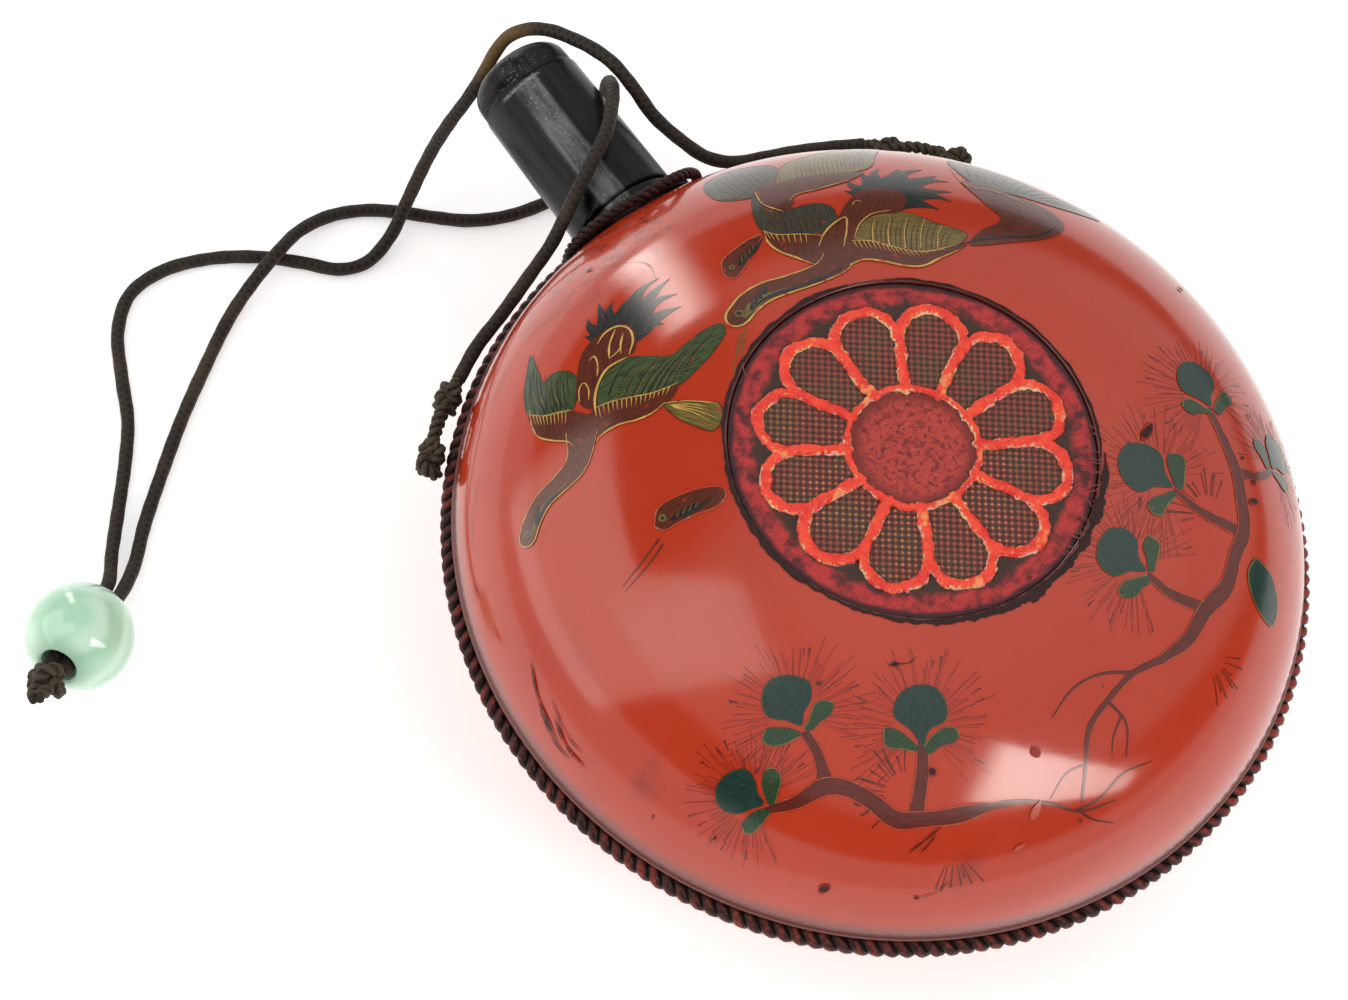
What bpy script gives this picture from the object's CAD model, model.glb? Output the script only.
import functools
import math
import random

import bmesh
import bpy
import numpy as np
from mathutils import Matrix, Vector
from mathutils.geometry import delaunay_2d_cdt


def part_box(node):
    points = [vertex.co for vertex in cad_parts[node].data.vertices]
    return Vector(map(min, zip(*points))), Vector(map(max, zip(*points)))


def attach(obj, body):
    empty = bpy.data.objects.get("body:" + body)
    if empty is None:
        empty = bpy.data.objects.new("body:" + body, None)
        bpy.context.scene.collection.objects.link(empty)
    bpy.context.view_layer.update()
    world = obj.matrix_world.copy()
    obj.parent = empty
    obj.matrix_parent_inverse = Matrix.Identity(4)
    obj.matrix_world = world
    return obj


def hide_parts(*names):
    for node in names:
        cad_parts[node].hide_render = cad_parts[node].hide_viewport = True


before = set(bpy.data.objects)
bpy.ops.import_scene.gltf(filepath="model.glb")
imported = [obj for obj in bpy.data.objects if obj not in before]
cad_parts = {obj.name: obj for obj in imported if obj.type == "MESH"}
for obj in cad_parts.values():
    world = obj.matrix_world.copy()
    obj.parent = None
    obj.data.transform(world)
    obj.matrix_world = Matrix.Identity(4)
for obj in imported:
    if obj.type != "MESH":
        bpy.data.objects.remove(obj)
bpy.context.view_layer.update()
mm = 0.001

# The flask's own sizes, read from the solids where they can be
ropeLow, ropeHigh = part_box("rim_rope")
seamHeight = (ropeLow.z + ropeHigh.z) / 2
ropeRadius = (ropeHigh.z - ropeLow.z) / 2
ropeRing = ropeHigh.x - ropeRadius
panelLow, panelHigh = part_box("front_panel")
capLow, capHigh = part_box("cap")


# The camera, where the photograph was taken from
view = {
    "place": (-0.20515, -0.14353, 0.51547),
    "aim": (-0.02101, 0.02178, 0.02888),
    "roll": 14.03,
    "focalLength": 100.46,
    "filmWidth": 36.0,
    "clip": (0.05, 20),
}


def makeCamera():
    data = bpy.data.cameras.new("camera")
    data.lens = view["focalLength"]
    data.sensor_width = view["filmWidth"]
    data.sensor_fit = "HORIZONTAL"
    data.clip_start, data.clip_end = view["clip"]
    camera = makeObject("camera", data)
    place = Vector(view["place"])
    turn = (Vector(view["aim"]) - place).to_track_quat("-Z", "Y").to_matrix()
    turn = turn @ Matrix.Rotation(math.radians(view["roll"]), 3, "Z")
    camera.matrix_world = Matrix.Translation(place) @ turn.to_4x4()
    bpy.context.scene.camera = camera


# Node helpers: a socket given as a value is linked, anything else is set on the socket
def giveSocket(tree, socket, value):
    if isinstance(value, bpy.types.NodeSocket):
        tree.links.new(value, socket)
    else:
        socket.default_value = value


def addNode(tree, kind, inputs=None, **settings):
    made = tree.nodes.new(kind)
    for key, value in settings.items():
        setattr(made, key, value)
    for key, value in (inputs or {}).items():
        giveSocket(tree, made.inputs[key], value)
    return made


def calc(tree, operation, a, b=0.0):
    return addNode(tree, "ShaderNodeMath", {0: a, 1: b}, operation=operation).outputs[0]


def plus(tree, *terms):
    return functools.reduce(functools.partial(calc, tree, "ADD"), terms)


def times(tree, *factors):
    return functools.reduce(functools.partial(calc, tree, "MULTIPLY"), factors)


def minus(tree, a, b):
    return calc(tree, "SUBTRACT", a, b)


def apart(tree, a, b):
    return calc(tree, "ABSOLUTE", minus(tree, a, b))


def vectorCalc(tree, operation, a, b=(0, 0, 0)):
    made = addNode(tree, "ShaderNodeVectorMath", {0: a, 1: b}, operation=operation)
    return made.outputs["Value" if operation in ("LENGTH", "DOT_PRODUCT", "DISTANCE") else "Vector"]


def scaled(tree, vector, scale):
    return addNode(tree, "ShaderNodeVectorMath", {0: vector, "Scale": scale}, operation="SCALE").outputs[0]


def split(tree, vector):
    return addNode(tree, "ShaderNodeSeparateXYZ", {0: vector}).outputs


def join(tree, x, y, z=0.0):
    return addNode(tree, "ShaderNodeCombineXYZ", {0: x, 1: y, 2: z}).outputs[0]


def mixColour(tree, share, a, b):
    made = addNode(tree, "ShaderNodeMix", {0: share}, data_type="RGBA")
    for key, value in ((6, a), (7, b)):
        linked = isinstance(value, bpy.types.NodeSocket)
        giveSocket(tree, made.inputs[key], value if linked else (*value, 1.0))
    return made.outputs[2]


def layered(tree, colour, *coats):
    # Lays colours over the first one: each coat is its share, its strength and its colour
    for share, strength, over in coats:
        colour = mixColour(tree, times(tree, share, strength) if strength < 1 else share, colour, over)
    return colour


def noiseAt(tree, where, scale, detail=3.0, roughness=0.5, distortion=0.0):
    inputs = {"Vector": where, "Scale": scale, "Detail": detail, "Roughness": roughness, "Distortion": distortion}
    return addNode(tree, "ShaderNodeTexNoise", inputs).outputs["Fac"]


def between(tree, value, low, high, out=(0.0, 1.0)):
    # A soft rise from low to high
    inputs = {"Value": value, "From Min": low, "From Max": high, "To Min": out[0], "To Max": out[1]}
    return addNode(tree, "ShaderNodeMapRange", inputs, interpolation_type="SMOOTHSTEP").outputs[0]


def below(tree, value, low, high, most=1.0):
    # A soft fall from low to high
    return between(tree, value, low, high, (most, 0.0))


def stretched(tree, where, scale, turn=(0, 0, 0)):
    return addNode(tree, "ShaderNodeMapping", {"Vector": where, "Scale": scale, "Rotation": turn}).outputs[0]


def startMaterial(name):
    material = bpy.data.materials.new(name)
    material.use_nodes = True
    return material, material.node_tree, material.node_tree.nodes["Principled BSDF"]


def objectPlace(tree):
    return addNode(tree, "ShaderNodeTexCoord").outputs["Object"]


def alongUv(tree):
    return addNode(tree, "ShaderNodeUVMap", uv_map="along").outputs[0]


def attribute(tree, name):
    return addNode(tree, "ShaderNodeAttribute", attribute_name=name).outputs["Fac"]


def setShader(tree, shader, colour, roughness, bump=None, depth=0.1, step=0.0001, **fixed):
    tree.links.new(colour, shader.inputs["Base Color"])
    giveSocket(tree, shader.inputs["Roughness"], roughness)
    for key, value in fixed.items():
        shader.inputs[key.replace("_", " ")].default_value = value
    if bump:
        relief = addNode(tree, "ShaderNodeBump", {"Height": bump, "Strength": depth, "Distance": step})
        tree.links.new(relief.outputs[0], shader.inputs["Normal"])


# Mesh helpers
def makeObject(name, data):
    made = bpy.data.objects.new(name, data)
    bpy.context.scene.collection.objects.link(made)
    return made


def makePiece(name, points, faces, materials, loopUvs=None, faceMaterials=None, attributes=None, normals=None):
    mesh = bpy.data.meshes.new(name)
    mesh.from_pydata([tuple(p) for p in points], [], faces)
    for material in materials:
        mesh.materials.append(material)
    mesh.shade_smooth()
    if loopUvs is not None:
        layer = mesh.uv_layers.new(name="along")
        layer.data.foreach_set("uv", np.asarray(loopUvs, np.float32).ravel())
    if faceMaterials is not None:
        mesh.polygons.foreach_set("material_index", faceMaterials)
    for key, values in (attributes or {}).items():
        mesh.attributes.new(key, "FLOAT", "POINT").data.foreach_set("value", np.asarray(values, np.float32))
    if normals is not None:
        mesh.normals_split_custom_set_from_vertices([tuple(n) for n in normals])
    return makeObject(name, mesh)


def declare(piece, slotName, *nodes):
    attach(piece, "root")
    if nodes:
        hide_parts(*nodes)


def revolve(profile, segments, closed=False):
    # Turns a profile of (radius, height) points about Z; the profile runs down the outer side
    turns = np.linspace(0, 2 * math.pi, segments, endpoint=False)
    points, rings = [], []
    for radius, height in profile:
        if radius < 1e-7:
            rings.append([len(points)] * segments)
            points.append((0.0, 0.0, height))
        else:
            rings.append(list(range(len(points), len(points) + segments)))
            points += [(radius * math.cos(t), radius * math.sin(t), height) for t in turns]
    if closed:
        rings.append(rings[0])
    faces = []
    for upper, lower in zip(rings, rings[1:]):
        for k in range(segments):
            n = (k + 1) % segments
            loop = [upper[k], lower[k], lower[n], upper[n]]
            faces.append([v for i, v in enumerate(loop) if v != loop[i - 1]])
    return np.array(points), faces


def roundCorner(centre, radius, start, end, count=6):
    # Points of an arc in a profile, in degrees, where 0 points outwards and 90 up
    angles = np.radians(np.linspace(start, end, count))
    return [(centre[0] + radius * math.cos(a), centre[1] + radius * math.sin(a)) for a in angles]


def smoothRoute(route, perSpan=12, cyclic=False):
    # A smooth curve through hand-chosen points, evened by the distances between them
    route = [np.array(p, float) for p in route]
    if cyclic:
        route = [route[-1]] + route + route[:2]
    else:
        route = [2 * route[0] - route[1]] + route + [2 * route[-1] - route[-2]]
    fine = []
    for a, b, c, d in zip(route, route[1:], route[2:], route[3:]):
        ta = np.linalg.norm(b - a) ** 0.5
        tb = ta + np.linalg.norm(c - b) ** 0.5
        tc = tb + np.linalg.norm(d - c) ** 0.5
        for i in range(perSpan):
            t = ta + (tb - ta) * i / perSpan
            ab = a + (b - a) * t / ta
            bc = b + (c - b) * (t - ta) / (tb - ta)
            cd = c + (d - c) * (t - tb) / (tc - tb)
            abc, bcd = ab + (bc - ab) * t / tb, bc + (cd - bc) * (t - ta) / (tc - ta)
            fine.append(abc + (bcd - abc) * (t - ta) / (tb - ta))
    return np.array(fine if cyclic else fine + [route[-2]])


def evenly(path, step):
    # Resamples a path to even steps, with the share of its length at each point
    lengths = np.r_[0, np.cumsum(np.linalg.norm(np.diff(path, axis=0), axis=1))]
    count = max(int(round(lengths[-1] / step)), 2) + 1
    places = np.linspace(0, lengths[-1], count)
    even = np.stack([np.interp(places, lengths, path[:, i]) for i in range(path.shape[1])], 1)
    return even, places / lengths[-1], lengths[-1]


def headings(path):
    heading = np.gradient(path, axis=0)
    return heading / np.linalg.norm(heading, axis=1)[:, None]


def spreadOut(widths, share):
    # Widths spread evenly over a line, read at each share of its length
    return np.interp(share, np.linspace(0, 1, len(widths)), widths)


def sweepTube(path, radii, sides):
    # A closed tube along a path, with its length in millimetres and its turn as UVs
    heading = headings(path)
    side = np.cross(heading[0], (0, 0, 1) if abs(heading[0][2]) < 0.9 else (1, 0, 0))
    points, faces, uvs = [], [], []
    lengths = np.r_[0, np.cumsum(np.linalg.norm(np.diff(path, axis=0), axis=1))] / mm
    for i, place in enumerate(path):
        side = side - heading[i] * (side @ heading[i])
        side /= np.linalg.norm(side)
        up = np.cross(heading[i], side)
        for k in range(sides):
            turn = 2 * math.pi * k / sides
            points.append(place + radii[i] * (side * math.cos(turn) + up * math.sin(turn)))
    for i in range(len(path) - 1):
        for k in range(sides):
            n = (k + 1) % sides
            faces.append([i * sides + k, i * sides + n, (i + 1) * sides + n, (i + 1) * sides + k])
            uvs += [(lengths[i], k / sides), (lengths[i], (k + 1) / sides)]
            uvs += [(lengths[i + 1], (k + 1) / sides), (lengths[i + 1], k / sides)]
    last = (len(path) - 1) * sides
    faces += [list(range(sides))[::-1], list(range(last, last + sides))]
    uvs += [(0, 0)] * (2 * sides)
    return np.array(points), faces, uvs


# The cords: the same routes as their solids, in millimetres
cord = {
    "radius": 0.00105,
    "step": 0.0005,
    "sides": 14,
    "throughBead": (-1.5, -1.0, 0.0, 0.97),  # places on the bead's axis, in its radii
    "strandRate": 5.2,
    "slant": 3.0,
    "turningPoint": (-0.001, 0.097, 0.0335),  # where the right cord turns back, rubbed brown
    "beadCentre": (-99.7, 57.7, 8.0),
    "beadAxis": (-0.79, -0.476, 0.38),
    "lane": 1.2,
    "left": (
        (-37.6, 53.5, 32.0), (-32.6, 56.2, 33.0), (-26.6, 58.5, 33.6), (-19.8, 61.4, 34.2),
        (-14.0, 64.0, 34.6), (-10.6, 65.9, 36.0), (-7.6, 67.5, 38.1), (-3.7, 69.6, 40.2),
        (1.2, 72.6, 41.0), (5.3, 76.7, 39.5), (8.5, 80.6, 36.7), (10.1, 83.3, 33.2),
        (10.8, 84.4, 29.0), (11.2, 84.3, 23.0), (11.4, 83.8, 16.0), (10.8, 83.5, 9.0),
        (8.2, 83.9, 3.6), (3.2, 84.9, 1.4), (-3.6, 86.2, 1.15), (-9.4, 88.8, 1.1),
        (-14.0, 92.4, 1.1), (-17.6, 95.6, 1.1), (-22.1, 98.9, 1.1), (-27.5, 101.0, 1.2),
        (-33.6, 100.7, 2.4), (-39.0, 98.6, 3.8), (-44.6, 96.7, 2.7), (-50.4, 94.2, 1.3),
        (-59.3, 88.2, 1.1), (-66.6, 82.8, 1.1), (-73.8, 76.8, 1.1), (-80.8, 70.6, 1.3),
        (-85.6, 65.6, 2.1),
    ),
    "right": (
        (37.8, 54.4, 31.3), (33.8, 57.3, 30.0), (29.6, 59.9, 28.8), (24.8, 62.4, 27.5),
        (20.8, 64.2, 27.2), (17.4, 66.8, 28.0), (14.9, 70.5, 30.0), (12.6, 74.8, 32.8),
        (11.2, 79.0, 36.5), (10.0, 83.0, 38.8), (8.9, 86.9, 38.7), (7.7, 90.4, 37.8),
        (6.1, 93.9, 36.7), (3.9, 96.5, 35.3), (1.3, 97.6, 33.9), (-1.4, 97.1, 32.3),
        (-4.1, 96.0, 29.9), (-6.9, 95.5, 26.3), (-9.6, 95.8, 21.4), (-12.0, 96.2, 15.5),
        (-14.6, 95.9, 9.8), (-17.8, 94.6, 5.5), (-22.0, 92.4, 2.5), (-27.3, 91.0, 1.2),
        (-31.6, 92.2, 1.1), (-35.8, 96.2, 1.1), (-41.2, 100.8, 1.1), (-48.0, 104.6, 1.1),
        (-55.2, 106.5, 1.1), (-61.5, 105.6, 1.1), (-66.4, 101.2, 1.1), (-70.3, 93.8, 1.1),
        (-73.4, 87.1, 1.1), (-77.4, 81.4, 1.1), (-82.4, 75.2, 1.4), (-87.4, 69.0, 2.3),
    ),
}
beadRadius = 0.008
beadAxis = Vector(cord["beadAxis"]).normalized()
beadCentre = Vector(cord["beadCentre"]) * mm
beadAcross = beadAxis.cross(Vector((0, 0, 1))).normalized()


def cordFinish():
    material, tree, shader = startMaterial("braided cord")
    along = split(tree, alongUv(tree))
    where = objectPlace(tree)
    # strands of a braid: two families of slanting waves
    braid = []
    for slant in (cord["slant"], -cord["slant"]):
        phase = plus(tree, times(tree, along[0], cord["strandRate"]), times(tree, along[1], 2 * math.pi * slant))
        braid.append(calc(tree, "SINE", phase))
    weave = calc(tree, "MAXIMUM", *braid)
    fibre = noiseAt(tree, where, 2600, 3, 0.6)
    worn = between(tree, noiseAt(tree, where, 160, 2), 0.5, 0.75)
    turned = below(tree, vectorCalc(tree, "DISTANCE", where, cord["turningPoint"]), 0.0028, 0.0075)
    dark = mixColour(tree, between(tree, weave, -0.2, 0.9), (0.010, 0.0075, 0.005), (0.027, 0.020, 0.0135))
    brown = mixColour(tree, fibre, (0.045, 0.030, 0.015), (0.13, 0.092, 0.048))
    colour = layered(tree, dark, (worn, 0.35, brown), (turned, 0.7, (0.17, 0.095, 0.03)))
    height = plus(tree, weave, times(tree, fibre, 1.4))
    sheen = {"Specular_IOR_Level": 0.3, "Sheen_Weight": 0.06, "Sheen_Roughness": 0.4}
    setShader(tree, shader, colour, 0.62, height, 0.42, 0.00012, **sheen)
    return material


def makeCords(material):
    # Two braided cords from the loops on the rim, past the cap, through the bead
    tubes = []
    for name, side in (("left", -1), ("right", 1)):
        route = [np.array(p) * mm for p in cord[name]]
        lane = beadAcross * side * cord["lane"] * mm
        route += [np.array(beadCentre + beadAxis * along * beadRadius + lane) for along in cord["throughBead"]]
        path, share, length = evenly(smoothRoute(route), cord["step"])
        travelled = share * length / mm
        wobble = 1 + 0.02 * np.sin(travelled * 1.7) + 0.015 * np.sin(travelled * 0.53 + side)
        points, faces, uvs = sweepTube(path, cord["radius"] * wobble, cord["sides"])
        piece = makePiece(f"cord_{name}_braid", points, faces, [material], uvs)
        tubes.append((piece, path, length, route[0], f"cord_{name}"))
    return tubes


# Geometry Nodes: a tree starts with its inputs and ends with real geometry in one material
def startTree(name, measures, numbers):
    tree = bpy.data.node_groups.new(name, "GeometryNodeTree")
    kinds = {"Geometry": "Geometry", **dict.fromkeys(measures, "Float"), **dict.fromkeys(numbers, "Int")}
    for key, kind in {**kinds, "Material": "Material"}.items():
        tree.interface.new_socket(key, in_out="INPUT", socket_type=f"NodeSocket{kind}")
    tree.interface.new_socket("Geometry", in_out="OUTPUT", socket_type="NodeSocketGeometry")
    return tree, tree.nodes.new("NodeGroupInput").outputs


def endTree(tree, given, geometry):
    real = addNode(tree, "GeometryNodeRealizeInstances", {0: geometry})
    finished = addNode(tree, "GeometryNodeSetMaterial", {"Geometry": real.outputs[0], "Material": given["Material"]})
    tree.links.new(finished.outputs[0], tree.nodes.new("NodeGroupOutput").inputs[0])
    return tree


def storeAt(tree, geometry, name, value, kind):
    inputs = {"Geometry": geometry, "Name": name, "Value": value}
    return addNode(tree, "GeometryNodeStoreNamedAttribute", inputs, data_type=kind, domain="POINT").outputs[0]


# Strands laid round a path, as in a rope
def ropeTree():
    tree, given = startTree("twistedRope", ("Strand Radius", "Twist Radius", "Pitch", "Step"), ("Strands",))
    resampled = {"Curve": given["Geometry"], "Length": given["Step"]}
    path = addNode(tree, "GeometryNodeResampleCurve", resampled, mode="LENGTH").outputs[0]
    doubled = {"Geometry": path, "Amount": given["Strands"]}
    copies = addNode(tree, "GeometryNodeDuplicateElements", doubled, domain="SPLINE").outputs
    along = addNode(tree, "GeometryNodeSplineParameter").outputs["Length"]
    turns = calc(tree, "DIVIDE", along, given["Pitch"])
    share = calc(tree, "DIVIDE", copies["Duplicate Index"], given["Strands"])
    phase = times(tree, plus(tree, turns, share), 2 * math.pi)
    normal = addNode(tree, "GeometryNodeInputNormal").outputs[0]
    tangent = addNode(tree, "GeometryNodeInputTangent").outputs[0]
    across = vectorCalc(tree, "CROSS_PRODUCT", tangent, normal)
    waves = [scaled(tree, aim, calc(tree, wave, phase)) for aim, wave in ((normal, "COSINE"), (across, "SINE"))]
    marked = storeAt(tree, copies[0], "side", vectorCalc(tree, "ADD", *waves), "FLOAT_VECTOR")
    kept = addNode(tree, "GeometryNodeInputNamedAttribute", {"Name": "side"}, data_type="FLOAT_VECTOR").outputs[0]
    offset = scaled(tree, kept, given["Twist Radius"])
    laid = addNode(tree, "GeometryNodeSetPosition", {"Geometry": marked, "Offset": offset}).outputs[0]
    ring = addNode(tree, "GeometryNodeCurvePrimitiveCircle", {"Resolution": 8, "Radius": given["Strand Radius"]})
    swept = {"Curve": laid, "Profile Curve": ring.outputs[0], "Fill Caps": True}
    strand = addNode(tree, "GeometryNodeCurveToMesh", swept).outputs[0]
    crest = vectorCalc(tree, "DOT_PRODUCT", addNode(tree, "GeometryNodeInputNormal").outputs[0], kept)
    crested = storeAt(tree, strand, "crest", crest, "FLOAT")
    return endTree(tree, given, addNode(tree, "GeometryNodeSetShadeSmooth", {"Geometry": crested}).outputs[0])


def strandValues(sizes, material):
    return {
        "Strand Radius": sizes["strand"], "Twist Radius": sizes["twist"], "Pitch": sizes["pitch"],
        "Step": sizes["step"], "Strands": 2, "Material": material,
    }


def runTree(name, source, tree, values):
    # Runs a tree on a curve or mesh and returns the result as a plain mesh object
    bpy.context.scene.collection.objects.link(source)
    modifier = source.modifiers.new("Nodes", "NODES")
    modifier.node_group = tree
    for item in tree.interface.items_tree:
        if item.in_out == "INPUT" and item.name in values:
            modifier[item.identifier] = values[item.name]
    bpy.context.view_layer.update()
    evaluated = source.evaluated_get(bpy.context.evaluated_depsgraph_get())
    mesh = bpy.data.meshes.new_from_object(evaluated)
    mesh.name = name
    bpy.data.objects.remove(source, do_unlink=True)
    return makeObject(name, mesh)


def pathCurve(name, points, cyclic=False):
    curve = bpy.data.curves.new(name, "CURVE")
    curve.dimensions = "3D"
    spline = curve.splines.new("POLY")
    spline.points.add(len(points) - 1)
    for point, place in zip(spline.points, points):
        point.co = (*place, 1.0)
    spline.use_cyclic_u = cyclic
    return bpy.data.objects.new(name, curve)


# Rope mouldings round the seam and round the root of the spout
rope = {
    "rim": {"strand": 0.00086, "twist": 0.00068, "pitch": 0.0042, "step": 0.0003},
    "rimGap": 0.0131,  # half the width that the spout's collar takes out of the ring
    "collar": {"strand": 0.00052, "twist": 0.0004, "pitch": 0.0028, "step": 0.00028},
    "collarRadius": 0.01185,
    "collarStand": 0.0002,
}


def ropeFinish(name, wear):
    material, tree, shader = startMaterial(name)
    where = objectPlace(tree)
    patches = noiseAt(tree, where, 140, 4, 0.6)
    fine = noiseAt(tree, where, 1500, 3, 0.6)
    rightward = between(tree, split(tree, where)[0], -0.02, 0.05, (0.0, 0.3))  # handled more on the flask's right
    worn = plus(tree, attribute(tree, "crest"), times(tree, patches, 1.2), times(tree, fine, 0.7), rightward, wear)
    black = mixColour(tree, fine, (0.007, 0.005, 0.005), (0.040, 0.013, 0.010))
    red = mixColour(tree, fine, (0.16, 0.018, 0.012), (0.36, 0.050, 0.030))
    colour = mixColour(tree, between(tree, worn, 1.45, 2.0), black, red)
    setShader(tree, shader, colour, 0.42, fine, 0.3, 0.0001, Specular_IOR_Level=0.2)
    return material


def makeRimRope(tree, material):
    # The moulding laid round the seam, from one side of the spout's collar to the other
    gap = math.asin(rope["rimGap"] / ropeRing)
    turns = np.linspace(gap, 2 * math.pi - gap, 720)
    points = [(ropeRing * math.sin(t), ropeRing * math.cos(t), seamHeight) for t in turns]
    piece = runTree("rim_rope_strands", pathCurve("rimPath", points), tree, strandValues(rope["rim"], material))
    declare(piece, "rope_lacquer", "rim_rope")


def makeCollarRope(tree, material):
    # The thinner rope in the saddle between the spout and the body
    sizes, ring = rope["collar"], rope["collarRadius"]
    stand = sizes["strand"] + sizes["twist"] + rope["collarStand"]
    points = []
    for turn in np.linspace(0, 2 * math.pi, 240, endpoint=False):
        x, z = ring * math.cos(turn), ring * math.sin(turn)
        reach = domeRadiusAt(z, 1.25 * stand)
        points.append((x, math.sqrt(reach**2 - x**2), seamHeight + z))
    path = pathCurve("collarPath", points, cyclic=True)
    piece = runTree("collar_rope_strands", path, tree, strandValues(sizes, material))
    declare(piece, "rope_lacquer", "collar_rope")


# The body: a dome above and below the seam, in metres
body = {
    "radius": 0.062,
    "height": 0.0321,
    "roundness": (2.3, 2.15),
    "recessRadius": panelHigh.x + 0.00014,
    "recessFloor": panelLow.z - seamHeight - 0.0003,
    "beadRadius": 0.00062,
    "channelRadius": 0.0605,
    "channelHalf": 0.00185,
    "lipRounding": 0.00018,
    "bevel": 0.0002,
    "spoutSide": (-0.012, 0.056, 0.044),  # the middle of the cracked lacquer beside the spout
    "rings": 96,
    "segments": 420,
}


def domeHeightAt(radius):
    p, q = body["roundness"]
    return body["height"] * np.clip(1 - (radius / body["radius"]) ** p, 0, 1) ** (1 / q)


def domeRadiusAt(height, offset=0.0):
    p, q = body["roundness"]
    share = min(abs(height) / (body["height"] + offset), 1.0)
    return (body["radius"] + offset) * (1 - share**q) ** (1 / p)


# Distance along the dome from its middle, so that the painting can be laid out flat
radiusTable = body["radius"] * np.sin(np.linspace(0, math.pi / 2, 1200))
arcTable = np.r_[0, np.cumsum(np.hypot(np.diff(radiusTable), np.diff(domeHeightAt(radiusTable))))]


def onDome(flat, lift):
    # Lays flat points, in millimetres from the flask's axis, on the front dome
    flat = np.asarray(flat, float)
    reach = np.hypot(flat[:, 0], flat[:, 1])
    radius = np.interp(reach * mm, arcTable, radiusTable)
    aim = flat / np.maximum(reach, 1e-6)[:, None]
    near = np.minimum(radius, body["radius"] * 0.9995)
    slope = (domeHeightAt(near + 1e-5) - domeHeightAt(near - 1e-5)) / 2e-5
    normals = np.c_[-slope[:, None] * aim, np.ones(len(flat))]
    normals /= np.linalg.norm(normals, axis=1)[:, None]
    places = np.c_[aim * radius[:, None], domeHeightAt(radius) + seamHeight]
    return places + normals * (np.asarray(lift) * mm).reshape(-1, 1), normals


def bodyProfile():
    p, q = body["roundness"]
    lip, rim = body["recessRadius"], body["lipRounding"]
    bead, half, bevel = body["beadRadius"], body["channelHalf"], body["bevel"]
    beadTop = half + 2 * bead
    upper = [(0.0, body["recessFloor"]), (lip * 0.5, body["recessFloor"]), (lip, body["recessFloor"])]
    edge = float(domeHeightAt(lip + rim)) - rim
    upper += roundCorner((lip + rim, edge), rim, 180, 100, 5)
    first = math.asin(((lip + rim) / body["radius"]) ** (p / 2))
    last = math.acos(((beadTop + bevel) / body["height"]) ** (q / 2))
    for s in np.linspace(first, last, body["rings"]):
        upper.append((body["radius"] * math.sin(s) ** (2 / p), body["height"] * math.cos(s) ** (2 / q)))
    upper += roundCorner((body["radius"] - bead * 0.72, half + bead), bead, 70, -75, 9)
    upper += [(body["channelRadius"] + bevel, half), (body["channelRadius"], half - bevel)]
    return upper + [(radius, -height) for radius, height in reversed(upper)]


def redLacquerColour(tree, where):
    # Vermilion with soft mottling, shared by the body and by worn places in the painting
    cloud = noiseAt(tree, where, 45, 4, 0.6)
    return mixColour(tree, cloud, (0.42, 0.030, 0.008), (0.52, 0.044, 0.012))


def redLacquer():
    material, tree, shader = startMaterial("red lacquer")
    where = objectPlace(tree)
    parts = split(tree, where)
    reach = vectorCalc(tree, "LENGTH", join(tree, parts[0], parts[1]))
    fine = noiseAt(tree, where, 900, 5, 0.65)
    blots = noiseAt(tree, where, 95, 5, 0.62)
    level = apart(tree, parts[2], seamHeight)
    crease = below(tree, plus(tree, level, times(tree, fine, 0.0012)), 0.0034, 0.0078)
    specks = between(tree, noiseAt(tree, where, 1300, 2, 0.5), 0.70, 0.76)
    rubbed = times(tree, between(tree, blots, 0.55, 0.72), between(tree, reach, 0.046, 0.061))
    spoutSide = below(tree, vectorCalc(tree, "DISTANCE", where, body["spoutSide"]), 0.006, 0.018)
    crackle = between(tree, noiseAt(tree, where, 620, 5, 0.7, 0.6), 0.52, 0.60)
    lip = below(tree, plus(tree, reach, times(tree, fine, 0.0005)), 0.0266, 0.0269)
    colour = layered(
        tree, redLacquerColour(tree, where),
        (crease, 0.85, (0.055, 0.010, 0.008)),  # grime beside the rope moulding
        (times(tree, specks, between(tree, blots, 0.42, 0.66)), 1.0, (0.09, 0.015, 0.01)),
        (rubbed, 0.55, (0.20, 0.022, 0.014)),  # towards the rim and the spout
        (times(tree, crackle, spoutSide), 0.7, (0.06, 0.01, 0.012)),
        (lip, 0.85, (0.022, 0.009, 0.010)),  # lacquer lost along the lip round the panel
    )
    roughness = between(tree, noiseAt(tree, where, 60, 5, 0.65), 0.3, 0.75, (0.09, 0.2))
    roughness = calc(tree, "MAXIMUM", roughness, times(tree, crease, 0.42))
    height = plus(tree, times(tree, fine, 0.35), noiseAt(tree, where, 130, 3))
    setShader(tree, shader, colour, roughness, height, 0.10, 0.0002, IOR=1.52, Coat_Weight=0.35, Coat_Roughness=0.06)
    return material


def makeBody(material):
    points, faces = revolve(bodyProfile(), body["segments"])
    points[:, 2] += seamHeight
    piece = makePiece("flask_lacquered_body", points, faces, [material])
    declare(piece, "red_lacquer", "flask_body")


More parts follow.
